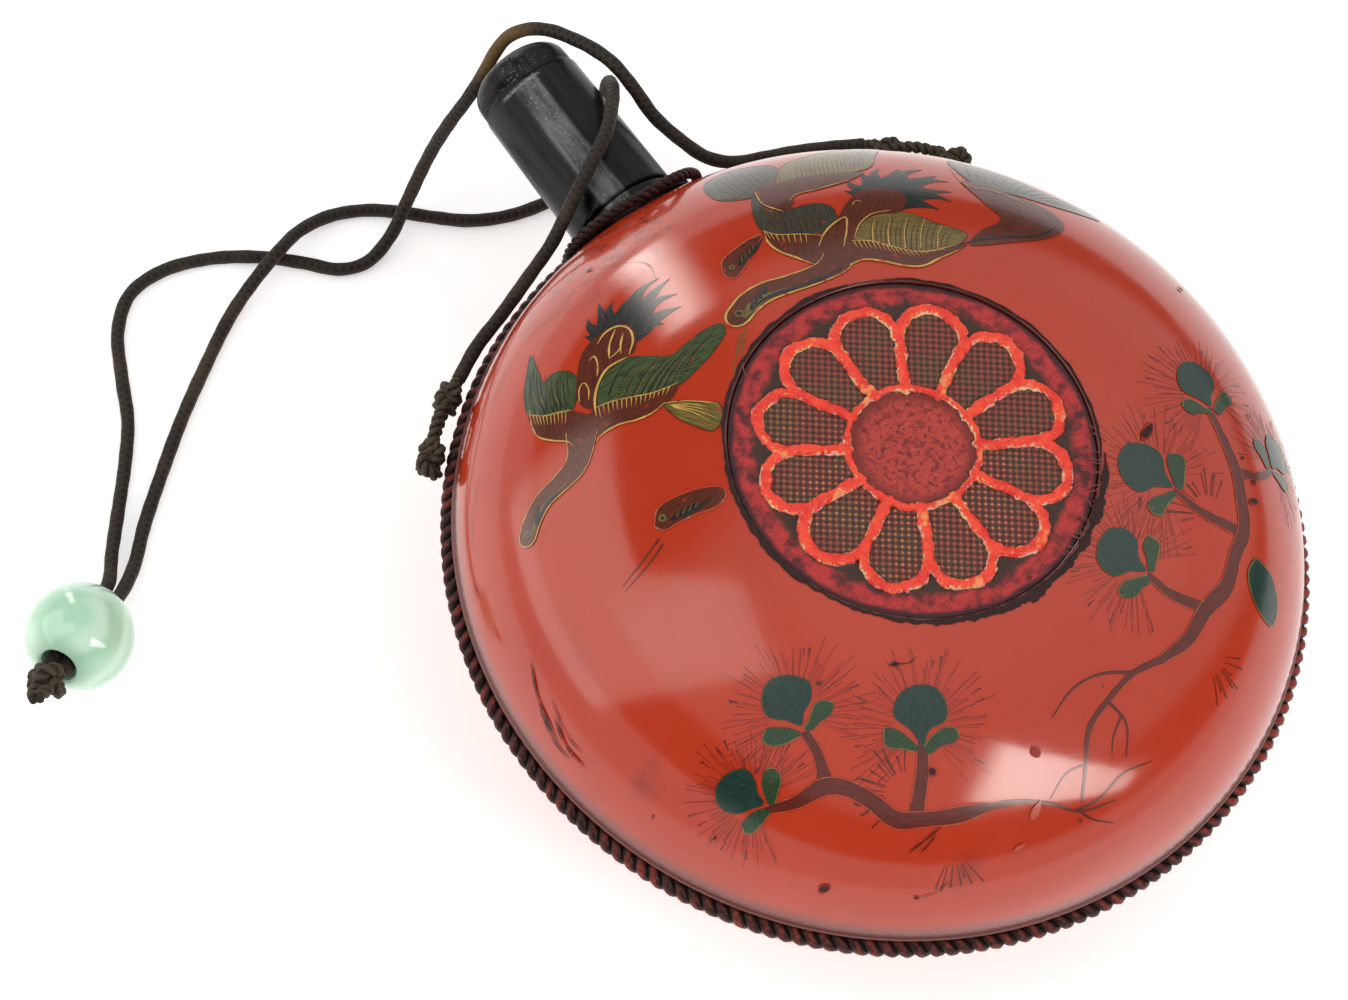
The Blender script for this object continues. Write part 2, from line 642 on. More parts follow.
# The painting: brush strokes and patches laid on the dome, in flat millimetres
paint = {
    "step": 0.55,
    "grid": 1.3,
    "reach": 80,
    "lift": 0.03,
    "layer": 0.02,
    "seed": 5,
}
finishes = {  # base colour, streak colour, share worn to the red below
    "brown": ((0.125, 0.025, 0.011), (0.066, 0.015, 0.008), 0.25),
    "umber": ((0.075, 0.015, 0.009), (0.12, 0.03, 0.012), 0.2),
    "slate": ((0.060, 0.058, 0.036), (0.024, 0.026, 0.020), 0.25),
    "green": ((0.070, 0.098, 0.036), (0.018, 0.034, 0.016), 0.15),
    "olive": ((0.20, 0.150, 0.040), (0.085, 0.065, 0.020), 0.3),
    "black": ((0.012, 0.012, 0.013), (0.038, 0.038, 0.038), 0.12),
    "pine": ((0.014, 0.043, 0.032), (0.008, 0.024, 0.020), 0.1),
    "leaf": ((0.026, 0.062, 0.024), (0.016, 0.036, 0.015), 0.2),
    "wood": ((0.135, 0.017, 0.009), (0.080, 0.011, 0.007), 0.2),
    "needle": ((0.265, 0.022, 0.011), (0.18, 0.017, 0.009), 0.15),
    "mark": ((0.14, 0.016, 0.010), (0.09, 0.012, 0.008), 0.1),
    "gold": ((0.66, 0.43, 0.10), (0.40, 0.20, 0.045), 0.4),
    "pale": ((0.40, 0.20, 0.08), (0.25, 0.08, 0.03), 0.75),
    "chip": ((0.022, 0.010, 0.011), (0.045, 0.012, 0.010), 0.0),
    "scar": ((0.52, 0.10, 0.055), (0.40, 0.05, 0.02), 0.1),
    "bare": ((0.34, 0.034, 0.022), (0.24, 0.022, 0.015), 0.0),
    "bruise": ((0.055, 0.028, 0.030), (0.10, 0.03, 0.028), 0.5),
}


def paintFinish(name):
    base, streak, worn = finishes[name]
    material, tree, shader = startMaterial(f"painted {name}")
    where = objectPlace(tree)
    hairs = noiseAt(tree, stretched(tree, alongUv(tree), (0.35, 3.2, 1)), 1.0, 3, 0.6)
    colour = mixColour(tree, between(tree, hairs, 0.35, 0.7), base, streak)
    bare = noiseAt(tree, where, 700, 5, 0.7)
    share = between(tree, bare, 0.74 - worn * 0.5, 0.80 - worn * 0.42)
    colour = mixColour(tree, share, colour, redLacquerColour(tree, where))
    if name in ("gold", "pale"):
        setShader(tree, shader, colour, 0.34, Coat_Weight=0.3, Coat_Roughness=0.1)
    elif name in ("chip", "bruise", "bare"):
        setShader(tree, shader, colour, 0.5, bare, 0.4, 0.0001, Specular_IOR_Level=0.25)
    else:
        setShader(tree, shader, colour, 0.16, hairs, 0.12, 0.0001, IOR=1.52, Coat_Weight=0.3, Coat_Roughness=0.07)
    return material


def newSheet():
    return {"flat": [], "lifts": [], "faces": [], "uvs": [], "finish": []}


def addToSheet(sheet, flat, uv, faces, finish, layer):
    start = len(sheet["flat"])
    sheet["flat"] += [tuple(p) for p in flat]
    sheet["lifts"] += [paint["lift"] + paint["layer"] * layer] * len(flat)
    for face in faces:
        sheet["faces"].append([start + v for v in face])
        sheet["uvs"] += [tuple(uv[v]) for v in face]
        sheet["finish"].append(finish)


def leftOf(line):
    # The direction to the left of a flat line at each of its points
    return headings(line)[:, ::-1] * (-1, 1)


def stroke(sheet, points, widths, finish, layer):
    # A brush stroke along a smooth line, with the widths spread evenly over its length
    line, share, length = evenly(smoothRoute(points), paint["step"])
    if np.isscalar(widths):
        widths = (widths, widths)
    width = spreadOut(widths, share) * (1 + 0.07 * np.sin(share * length * 2.1 + length))
    columns = max(2, int(max(widths) / 0.9) + 2)
    flat, uv = [], []
    for place, reach, half, along in zip(line, leftOf(line), width / 2, share * length):
        for t in np.linspace(-1, 1, columns):
            flat.append(place + reach * half * t)
            uv.append((along + length, half * t))
    faces = []
    for i in range(len(line) - 1):
        for k in range(columns - 1):
            a = i * columns + k
            faces.append([a, a + columns, a + columns + 1, a + 1])
    addToSheet(sheet, flat, uv, faces, finish, layer)


def inside(points, outline):
    # Which flat points are inside a closed outline, and how far each is from it
    x, y = points[:, 0, None], points[:, 1, None]
    a, b = outline, np.roll(outline, -1, axis=0)
    crosses = (a[:, 1] > y) != (b[:, 1] > y)
    at = (b[:, 0] - a[:, 0]) * (y - a[:, 1]) / (b[:, 1] - a[:, 1] + 1e-12) + a[:, 0]
    within = (crosses & (x < at)).sum(1) % 2 == 1
    away = np.min(np.hypot(x - a[:, 0], y - a[:, 1]), axis=1)
    return within, away


def patch(sheet, outline, finish, layer, grain=0.0, edge=None, edgeWidth=0.0):
    # A painted area with a smooth closed outline, brushed along its grain, and with an edge line if one is named
    loop = smoothRoute(outline, cyclic=True)
    loop = evenly(np.vstack([loop, loop[:1]]), paint["step"])[0][:-1]
    spread = np.arange(-paint["reach"], paint["reach"], paint["grid"])
    grid = np.array([(x, y) for x in spread for y in spread])
    low, high = loop.min(0), loop.max(0)
    grid = grid[((grid > low) & (grid < high)).all(1)]
    if len(grid):
        within, away = inside(grid, loop)
        grid = grid[within & (away > paint["grid"] * 0.45)]
    corners = [Vector(p) for p in loop] + [Vector(p) for p in grid]
    made = delaunay_2d_cdt(corners, [], [list(range(len(loop)))], 1, 1e-6)
    flat = np.array(made[0])
    c, s = math.cos(math.radians(grain)), math.sin(math.radians(grain))
    uv = np.stack([flat[:, 0] * c + flat[:, 1] * s, -flat[:, 0] * s + flat[:, 1] * c], 1)
    faces = []
    for face in made[2]:
        a, b, d = (flat[v] for v in face[:3])
        turned = (b[0] - a[0]) * (d[1] - a[1]) - (b[1] - a[1]) * (d[0] - a[0]) > 0
        faces.append(list(face) if turned else list(face)[::-1])
    addToSheet(sheet, flat, uv, faces, finish, layer)
    if edge:
        stroke(sheet, list(outline) + [outline[0]], edgeWidth, edge, layer + 1)


def hairs(sheet, start, end, reach, count, width, finish, layer, bend=0.0):
    # Short parallel lines from points on one line towards another, as on a wing
    start, end = smoothRoute(start), smoothRoute(end)
    a, b = evenly(start, 0.1)[0], evenly(end, 0.1)[0]
    for i in range(count):
        share = (i + 0.5) / count
        p, q = a[int(share * (len(a) - 1))], b[int(share * (len(b) - 1))]
        q = p + (q - p) * (reach * random.uniform(0.85, 1.1))
        middle = (p + q) / 2 + bend * np.array([-(q - p)[1], (q - p)[0]])
        stroke(sheet, [p, middle, q], (width, width * 0.9, width * 0.25), finish, layer)


def goose(sheet, shape):
    # A flying goose with the parts that its shape holds, from the layer below to the layer above
    for root, tips, width in shape.get("tail", ()):
        for i, tip in enumerate(tips):
            root, tip = np.array(root), np.array(tip)
            bow = np.array([-(tip - root)[1], (tip - root)[0]]) * (0.10 if i % 2 else 0.03)
            line = [root, root + (tip - root) * 0.45 + bow, root + (tip - root) * 0.8 + bow, tip]
            stroke(sheet, line, (width, width * 1.15, width * 0.42, 0.06), "black", 1 + 0.02 * i)
            stroke(sheet, line[1:], (0.1, 0.16, 0.05), "slate", 2)
    for finish, outline, grain in shape.get("feathers", ()):
        patch(sheet, outline, finish, 2, grain, "leaf" if finish == "green" else "umber", 0.14)
    for start, end, count, finish in shape.get("quills", ()):
        hairs(sheet, start, end, 0.96, count, 0.24 if finish == "black" else 0.16, finish, 3, 0.05)
    for outline, grain in shape.get("body", ()):
        patch(sheet, outline, "brown", 4, grain)
    if "neck" in shape:
        neckAndHead(sheet, **shape["neck"])
    for start, end, count in shape.get("combs", ()):
        hairs(sheet, start, end, 0.42, count, 0.15, "gold", 7)
    for key, finish, layer in (("gilt", "gold", 8), ("inked", "black", 6)):
        for line, width in shape.get(key, ()):
            stroke(sheet, line, (0.1, width, width * 0.8, width, 0.08), finish, layer)


def ringRound(centre, radius):
    return [centre + radius * np.array([math.cos(a), math.sin(a)]) for a in np.linspace(0, 5.4, 7)]


def neckAndHead(sheet, points, widths, outlined, throat, inked, marks):
    # The neck widens into the breast at one end and ends in a rounded head at the other
    line, share, _ = evenly(smoothRoute(points), 0.8)
    half = spreadOut(widths, share) / 2
    aim, side = headings(line), -leftOf(line)
    lower, upper = line + side * half[:, None], line - side * half[:, None]
    crown = []
    for turn in np.linspace(0, math.pi, 7)[1:-1]:
        crown.append(line[0] + half[0] * (-side[0] * math.cos(turn) - aim[0] * math.sin(turn) * 1.2))
    outline = list(upper[::-1]) + crown + list(lower)
    patch(sheet, outline, "brown", 5, 20)
    stroke(sheet, outline[3:-3], (0.1, outlined, outlined * 1.2, outlined, 0.1), "gold", 7)
    belly = line + side * (half * 0.6)[:, None]
    count = len(line)
    under = line + side * (half * 0.45)[:, None]
    stroke(sheet, list(under[: int(count * 0.5)]), (throat * 0.5, throat, throat * 0.8, throat * 0.3, 0.1), "olive", 6)
    stroke(sheet, list(belly[2 : int(count * inked)]), (0.2, 0.55, 0.45, 0.5, 0.12), "black", 7)
    for k in range(marks):
        root = belly[2] + aim[2] * (0.2 + 1.1 * k)
        across = aim[2] * 0.85 - side[2] * 0.5
        stroke(sheet, [root, root + across * 0.9, root + across * half[2] * 1.25], (0.55, 0.4, 0.08), "black", 8)
    eyePlace = line[0] + aim[0] * half[0] * 0.15 - side[0] * half[0] * 0.05
    for reach, finish, layer in ((0.40, "olive", 8), (0.24, "black", 9)):
        patch(sheet, ringRound(eyePlace, half[0] * reach), finish, layer)


leftGoose = {
    "neck": {
        "points": [(-51.4, 22.6), (-49.6, 23.8), (-46.6, 25.0), (-43.0, 25.2), (-40.2, 25.6), (-38.2, 27.0),
            (-36.6, 29.0), (-34.6, 31.4)],
        "widths": (2.9, 2.9, 2.8, 2.9, 3.3, 3.7, 4.6, 5.4),
        "outlined": 0.15, "throat": 0.7, "inked": 0.45, "marks": 2,
    },
    "tail": (
        ((-23.6, 38.4), (
            (-26.4, 43.2), (-24.2, 45.8), (-21.3, 47.0), (-19.6, 45.4), (-16.1, 44.4), (-12.4, 43.9),
            (-11.4, 42.6), (-12.4, 39.3), (-13.3, 36.9), (-17.0, 36.0),
        ), 3.8),
    ),
    "feathers": (
        ("green", [(-40.2, 39.2), (-38.7, 42.5), (-36.6, 45.2), (-33.8, 48.3), (-34.6, 45.0), (-35.3, 41.4),
            (-33.7, 41.6), (-32.3, 40.6), (-31.5, 39.0), (-31.8, 37.0), (-33.4, 35.0), (-35.4, 33.6),
            (-37.4, 35.0), (-39.2, 36.9)], 60),
        ("green", [(-32.8, 31.0), (-30.4, 33.8), (-27.6, 35.3), (-24.2, 34.7), (-21.7, 32.6), (-19.7, 30.8),
            (-16.6, 31.0), (-13.1, 31.2), (-10.9, 30.5), (-11.2, 29.2), (-14.7, 27.4), (-18.5, 26.4),
            (-21.5, 26.0), (-25.3, 27.0), (-28.8, 29.2)], -12),
        ("olive", [(-25.2, 25.0), (-23.0, 23.9), (-20.6, 21.5), (-19.0, 19.9), (-20.3, 17.6), (-22.2, 17.0),
            (-23.9, 19.5), (-24.9, 21.9)], -60),
    ),
    "quills": (
        ([(-39.6, 38.0), (-37.6, 36.0), (-35.0, 34.4)], [(-35.2, 46.8), (-34.6, 42.4), (-32.2, 39.6)], 8, "black"),
        ([(-38.8, 38.6), (-36.8, 36.6), (-34.6, 35.0)], [(-35.8, 45.4), (-34.8, 41.6), (-32.4, 39.8)], 5, "olive"),
        ([(-30.4, 31.8), (-27.4, 28.6), (-20.6, 26.4)], [(-25.6, 34.8), (-19.6, 30.8), (-11.4, 30.2)], 10, "black"),
        ([(-30.0, 30.8), (-26.4, 28.2), (-20.2, 26.6)], [(-23.4, 33.8), (-18.0, 30.6), (-11.8, 29.8)], 8, "olive"),
        ([(-24.4, 24.2), (-24.2, 23.4)], [(-19.4, 20.0), (-21.6, 17.4)], 4, "gold"),
    ),
    "body": (
        ([(-33.6, 32.4), (-33.4, 35.0), (-30.9, 38.4), (-28.2, 40.9), (-25.2, 41.6), (-22.7, 41.2),
            (-20.8, 39.6), (-21.4, 36.8), (-23.2, 35.0), (-26.6, 35.6), (-29.6, 34.8), (-32.4, 31.2)], 50),
        ([(-40.3, 38.6), (-38.6, 36.2), (-37.0, 35.0), (-35.6, 33.8), (-34.2, 31.6), (-36.4, 29.2),
            (-38.5, 29.7), (-40.0, 31.8), (-41.1, 34.0), (-41.0, 36.6)], 60),
        ([(-33.2, 31.2), (-30.2, 30.3), (-27.5, 28.8), (-25.3, 27.5), (-23.2, 26.7), (-21.5, 26.3),
            (-23.2, 25.0), (-25.2, 24.7), (-27.6, 24.8), (-29.6, 25.5), (-31.9, 26.7), (-34.2, 27.2),
            (-36.4, 28.2)], -12),
    ),
    "combs": (
        ([(-39.9, 38.0), (-38.6, 36.1), (-37.0, 34.9), (-35.8, 33.8)], [(-41.0, 34.4), (-39.8, 31.8),
            (-38.4, 30.0)], 10),
        ([(-32.4, 31.0), (-30.2, 30.2), (-27.5, 28.6), (-22.4, 26.4)], [(-34.2, 27.2), (-31.7, 26.7),
            (-28.8, 25.4), (-25.0, 25.0)], 16),
    ),
    "gilt": (
        ([(-26.0, 40.2), (-24.2, 41.0), (-22.2, 40.7), (-21.2, 39.2), (-21.8, 37.0), (-24.0, 34.9)], 0.36),
        ([(-26.3, 36.6), (-24.9, 38.6), (-22.6, 40.4)], 0.34),
        ([(-24.6, 36.0), (-23.6, 37.6), (-22.2, 38.9)], 0.28),
        ([(-26.3, 36.6), (-24.4, 36.8), (-22.2, 38.9)], 0.22),
        ([(-28.6, 38.6), (-27.6, 38.8), (-28.0, 37.2), (-29.3, 35.4)], 0.28),
        ([(-33.6, 33.8), (-32.4, 35.6), (-31.3, 36.1), (-31.5, 34.4), (-32.5, 33.0)], 0.24),
        ([(-33.2, 30.0), (-31.8, 32.4), (-29.8, 34.3), (-27.4, 35.4), (-24.2, 34.9)], 0.42),
        ([(-39.6, 39.2), (-40.9, 36.4), (-41.2, 34.0), (-40.0, 31.6), (-38.5, 29.6), (-38.4, 28.6)], 0.26),
        ([(-35.6, 26.6), (-34.2, 26.9), (-31.7, 26.5), (-29.3, 25.3), (-27.0, 24.7), (-24.9, 24.9)], 0.28),
        ([(-39.9, 38.2), (-38.6, 36.2), (-37.0, 35.0), (-35.2, 33.6)], 0.2),
        ([(-32.6, 31.2), (-30.2, 30.3), (-27.5, 28.7), (-25.0, 27.3), (-21.5, 26.3)], 0.18),
        ([(-24.9, 24.9), (-22.4, 23.2), (-20.0, 20.9), (-19.2, 19.9)], 0.18),
    ),
}

topGoose = {
    "neck": {
        "points": [(-8.2, 30.2), (-5.6, 31.1), (-2.7, 31.2), (0.2, 30.5), (3.2, 29.8), (6.2, 29.4), (8.8, 29.8),
            (11.4, 31.4)],
        "widths": (3.5, 3.7, 3.4, 3.1, 3.1, 3.3, 4.4, 5.4),
        "outlined": 0.28, "throat": 1.5, "inked": 0.86, "marks": 4,
    },
    "tail": (
        ((23.4, 36.8), (
            (19.6, 41.4), (21.8, 43.4), (25.2, 44.0), (28.4, 43.6), (31.2, 42.0), (34.2, 40.2), (34.8, 37.6),
            (35.4, 35.4), (33.6, 33.0), (31.8, 31.0), (28.8, 30.4),
        ), 4.1),
    ),
    "feathers": (
        ("slate", [(8.8, 49.4), (7.0, 47.4), (5.1, 44.2), (4.3, 41.2), (5.4, 39.1), (7.7, 37.4), (9.7, 35.4),
            (12.1, 35.4), (14.6, 37.0), (15.5, 39.6), (13.9, 41.5), (11.3, 42.4), (9.4, 43.2), (8.7, 45.6)], 60),
        ("olive", [(13.5, 31.7), (16.4, 33.8), (19.2, 34.3), (22.3, 33.4), (24.6, 31.4), (26.2, 28.3),
            (28.0, 26.0), (28.8, 24.2), (26.6, 23.2), (22.8, 23.3), (20.2, 24.3), (17.7, 26.7), (15.6, 29.7)], -40),
    ),
    "quills": (
        ([(5.6, 40.2), (8.2, 37.4), (11.6, 35.6)], [(8.0, 46.6), (10.8, 42.6), (14.4, 40.8)], 8, "umber"),
        ([(15.4, 30.4), (18.6, 26.2), (24.4, 23.4)], [(18.6, 34.0), (23.8, 32.0), (27.8, 25.6)], 16, "umber"),
        ([(15.0, 30.8), (18.4, 26.8), (24.0, 23.6)], [(17.8, 34.0), (23.2, 32.4), (27.4, 26.4)], 5, "gold"),
    ),
    "body": (
        ([(10.0, 31.4), (11.8, 35.6), (15.0, 37.0), (18.4, 39.0), (22.1, 40.0), (24.9, 38.7), (26.5, 36.4),
            (25.2, 33.9), (22.9, 32.9), (19.4, 34.4), (16.8, 34.2), (13.7, 31.9), (12.0, 29.6)], 30),
        ([(4.2, 41.2), (5.4, 39.2), (7.6, 37.5), (9.2, 36.2), (11.4, 35.2), (12.4, 32.2), (9.0, 30.2),
            (5.8, 31.2), (5.3, 32.6), (4.4, 34.4), (3.5, 36.4), (3.4, 38.8)], 60),
        ([(12.4, 32.0), (15.2, 30.3), (17.0, 28.0), (18.9, 25.9), (20.9, 24.4), (25.2, 23.4), (27.4, 22.6),
            (24.6, 22.2), (21.9, 22.4), (18.7, 22.5), (16.5, 23.9), (14.6, 26.0), (12.4, 27.9), (9.9, 28.5)], -35),
    ),
    "combs": (
        ([(4.3, 41.1), (5.3, 39.1), (7.3, 37.6), (9.0, 36.3)], [(3.6, 37.2), (4.6, 34.2), (6.4, 32.4)], 8),
        ([(13.1, 31.7), (15.2, 30.3), (17.0, 28.0), (18.9, 25.7), (23.6, 23.5)], [(12.4, 28.6), (14.6, 26.1),
            (18.7, 22.9), (24.6, 22.4)], 20),
    ),
    "gilt": (
        ([(8.6, 33.6), (10.9, 35.2), (13.4, 36.1), (15.6, 36.2), (14.6, 34.6), (11.4, 31.4)], 0.3),
        ([(13.7, 31.9), (16.6, 34.0), (19.6, 34.6), (22.0, 33.8)], 0.2),
        ([(18.2, 37.8), (19.4, 38.4), (19.8, 37.6)], 0.2),
        ([(4.4, 41.0), (3.4, 38.8), (3.5, 36.2), (4.5, 34.0), (5.3, 32.3), (5.8, 31.2)], 0.36),
        ([(4.3, 41.1), (5.3, 39.2), (7.4, 37.6), (9.4, 36.0), (10.4, 34.9)], 0.18),
        ([(9.9, 28.2), (12.4, 27.8), (14.6, 25.9), (16.5, 23.8), (18.7, 22.4), (21.9, 22.3), (25.4, 22.2)], 0.36),
        ([(13.1, 31.8), (15.2, 30.4), (17.0, 28.1), (18.9, 25.8), (20.9, 24.3), (25.6, 23.2)], 0.18),
    ),
    "inked": (([(26.0, 23.0), (29.2, 22.6), (33.1, 21.3), (39.2, 19.4), (43.8, 20.1)], 0.42),),
}

farGooseLeft = {
    "feathers": (
        ("slate", [(4.2, 52.2), (6.0, 58.6), (11.6, 60.0), (16.8, 55.0), (14.6, 51.2), (9.6, 48.2)], 40),
        ("olive", [(13.4, 48.6), (17.0, 53.4), (25.0, 54.6), (36.0, 52.8), (31.6, 48.0), (27.0, 44.6),
            (20.6, 46.2)], 5),
    ),
    "quills": (
        ([(6.0, 51.0), (10.6, 49.2), (13.8, 51.0)], [(6.8, 57.6), (11.4, 58.8), (15.8, 54.8)], 8, "umber"),
        ([(16.4, 48.8), (20.6, 46.8), (27.0, 45.2)], [(20.6, 54.0), (27.0, 54.0), (35.0, 52.2)], 16, "umber"),
    ),
    "body": (
        ([(9.6, 50.6), (8.4, 46.3), (9.2, 42.9), (11.7, 43.4), (13.0, 44.8), (16.9, 43.9), (22.0, 43.1),
            (25.4, 43.8), (20.9, 46.6), (16.2, 48.7), (13.1, 49.4)], 0),
    ),
    "gilt": (
        ([(9.2, 49.6), (8.1, 46.1), (9.2, 42.7)], 0.26),
        ([(11.5, 44.2), (13.3, 44.8), (16.8, 43.9), (22.0, 43.1)], 0.16),
    ),
}

farGooseRight = {
    "feathers": (
        ("slate", [(42.0, 42.2), (46.8, 37.0), (50.6, 30.0), (56.6, 20.8), (49.6, 23.8), (44.6, 27.8),
            (39.0, 34.6)], -60),
    ),
    "quills": (([(40.2, 36.2), (44.8, 29.6), (49.4, 25.4)], [(43.6, 41.0), (49.0, 33.0), (55.2, 22.8)],
        12, "umber"),),
    "body": (
        ([(37.6, 35.0), (42.0, 30.0), (46.0, 23.6), (45.4, 19.8), (41.0, 18.4), (34.0, 19.8), (27.6, 22.4),
            (31.0, 23.8), (36.0, 24.6), (36.4, 29.0)], -40),
    ),
    "gilt": (([(39.6, 39.6), (37.2, 33.4), (40.4, 30.6), (43.0, 26.4)], 0.16),),
}


def loneHead(sheet, outline, tip, behind, width):
    # A head seen alone, in a cocoon of brown, as of a bird that flies behind
    patch(sheet, outline, "brown", 2, 0, "pale", 0.2)
    tip, behind = np.array(tip), np.array(behind)
    aim = (tip - behind) / np.linalg.norm(tip - behind)
    side = np.array([-aim[1], aim[0]])
    patch(sheet, ringRound(tip, width * 0.2), "olive", 5)
    patch(sheet, ringRound(tip, width * 0.11), "black", 6)
    low = tip - aim * width * 0.3 + side * width * 0.34
    line = [low - side * 0.3, low - aim * 1.6, low - aim * 4.4 - side * 0.1, low - aim * 6.4 - side * 0.5]
    stroke(sheet, line, (0.3, 0.6, 0.55, 0.1), "black", 5)
    for k in range(4):
        mark = low - aim * (0.5 + 0.95 * k)
        line = [mark, mark - side * 0.5 - aim * 0.35, mark - side * 1.0 - aim * 1.0]
        stroke(sheet, line, (0.42, 0.3, 0.08), "black", 6)
        stroke(sheet, [mark - aim * 0.4 - side * 0.2, mark - side * 1.1 - aim * 1.3], (0.14, 0.06), "olive", 7)


# A fan of pine needles, flat, drawn from its middle outwards
def needleTree():
    tree, given = startTree("needleFan", ("Inner", "Length", "Width", "Start", "Sweep"), ("Count", "Seed"))

    def drawn(low, high, shift):
        seed = plus(tree, given["Seed"], shift)
        return addNode(tree, "FunctionNodeRandomValue", {2: low, 3: high, "Seed": seed}, data_type="FLOAT").outputs[1]

    # one needle: thin at the root, a little thicker where the brush was set down at its tip
    blade = addNode(tree, "GeometryNodeMeshGrid", {"Size X": 1.0, "Size Y": 1.0, "Vertices X": 9, "Vertices Y": 2})
    parts = split(tree, addNode(tree, "GeometryNodeInputPosition").outputs[0])
    along = plus(tree, parts[0], 0.5)
    swell = plus(tree, 0.45, times(tree, calc(tree, "POWER", along, 3.0), 0.75))
    place = join(tree, times(tree, along, given["Length"]), times(tree, parts[1], swell, given["Width"]))
    shaped = addNode(tree, "GeometryNodeSetPosition", {"Geometry": blade.outputs[0], "Position": place}).outputs[0]
    points = addNode(tree, "GeometryNodeMeshLine", {"Count": given["Count"], "Offset": (0, 0, 0)}).outputs[0]
    index = addNode(tree, "GeometryNodeInputIndex").outputs[0]
    share = calc(tree, "DIVIDE", plus(tree, index, times(tree, drawn(0.0, 1.0, 0), 1.4)), given["Count"])
    angle = plus(tree, given["Start"], times(tree, share, given["Sweep"]))
    start = join(tree, *(times(tree, calc(tree, wave, angle), given["Inner"]) for wave in ("COSINE", "SINE")))
    spread = addNode(tree, "GeometryNodeSetPosition", {"Geometry": points, "Position": start}).outputs[0]
    size = join(tree, drawn(0.45, 1.0, 7), 1.0, 1.0)
    turn = join(tree, 0.0, 0.0, plus(tree, angle, drawn(-0.09, 0.09, 3)))
    laid = {"Points": spread, "Instance": shaped, "Rotation": turn, "Scale": size}
    return endTree(tree, given, addNode(tree, "GeometryNodeInstanceOnPoints", laid).outputs[0])


def needles(sheet, tree, material, centre, start, sweep, count, seed, inner, length, width, finish):
    values = {
        "Inner": inner * mm, "Length": length * mm, "Width": width * mm, "Start": math.radians(start),
        "Sweep": math.radians(sweep), "Count": count, "Seed": seed, "Material": material,
    }
    blank = bpy.data.objects.new("blank", bpy.data.meshes.new("blank"))
    fan = runTree("fan", blank, tree, values)
    flat = np.array([(v.co.x, v.co.y) for v in fan.data.vertices]) / mm
    faces = [list(p.vertices) for p in fan.data.polygons]
    addToSheet(sheet, flat + np.array(centre), flat, faces, finish, 0 if finish == "needle" else 1)
    bpy.data.objects.remove(fan, do_unlink=True)


clusterFans = (  # first angle, sweep, count, seed, inner radius, length, width, finish
    (40, 280, 50, 0, 0.66, 1.25, 0.13, "needle"),
    (44, 272, 34, 20, 0.6, 0.85, 0.13, "needle"),
    (50, 260, 9, 40, 1.35, 0.3, 0.28, "mark"),
)
clusterShapes = {  # outlines in sizes of the clump: along its stem, and aside
    "clump": (
        (0.62, 0.02), (0.34, 0.20), (0.14, 0.50), (-0.22, 0.58), (-0.56, 0.34), (-0.62, -0.14), (-0.40, -0.52),
        (0.02, -0.56), (0.32, -0.24),
    ),
    "leaf": (
        (0.72, 0.04), (0.50, 0.26), (0.30, 0.54), (0.30, 0.78), (0.48, 0.90), (0.66, 0.76), (0.74, 0.44),
        (0.80, 0.16),
    ),
}


def pineCluster(sheet, tree, material, centre, size, stem, seed):
    # A rounded clump of green with two leaves at its stem and needles round it; the stem is the direction, in
    # degrees, that the branch comes from
    centre = np.array(centre)
    aim = np.array([math.cos(math.radians(stem)), math.sin(math.radians(stem))])
    side = np.array([-aim[1], aim[0]])
    rng = random.Random(seed)
    middle = centre + aim * size * 0.3
    for first, sweep, count, shift, inner, length, width, finish in clusterFans:
        fan = (first + stem, sweep, count, seed + shift, inner * size, length * size, width, finish)
        needles(sheet, tree, material, middle, *fan)
    shapes = ((clusterShapes["clump"], 1), (clusterShapes["leaf"], 1), (clusterShapes["leaf"], -1))
    for k, (shape, sign) in enumerate(shapes):
        outline = []
        for a, b in shape:
            a, b = a * rng.uniform(0.92, 1.08), b * rng.uniform(0.9, 1.08) * sign
            outline.append(centre + (aim * a + side * b) * size)
        patch(sheet, outline, "pine" if k == 0 else "leaf", 5, stem + 60 * k)
        stroke(sheet, outline[:5] if rng.random() < 0.5 else outline[3:], 0.17, "leaf" if k == 0 else "olive", 6)


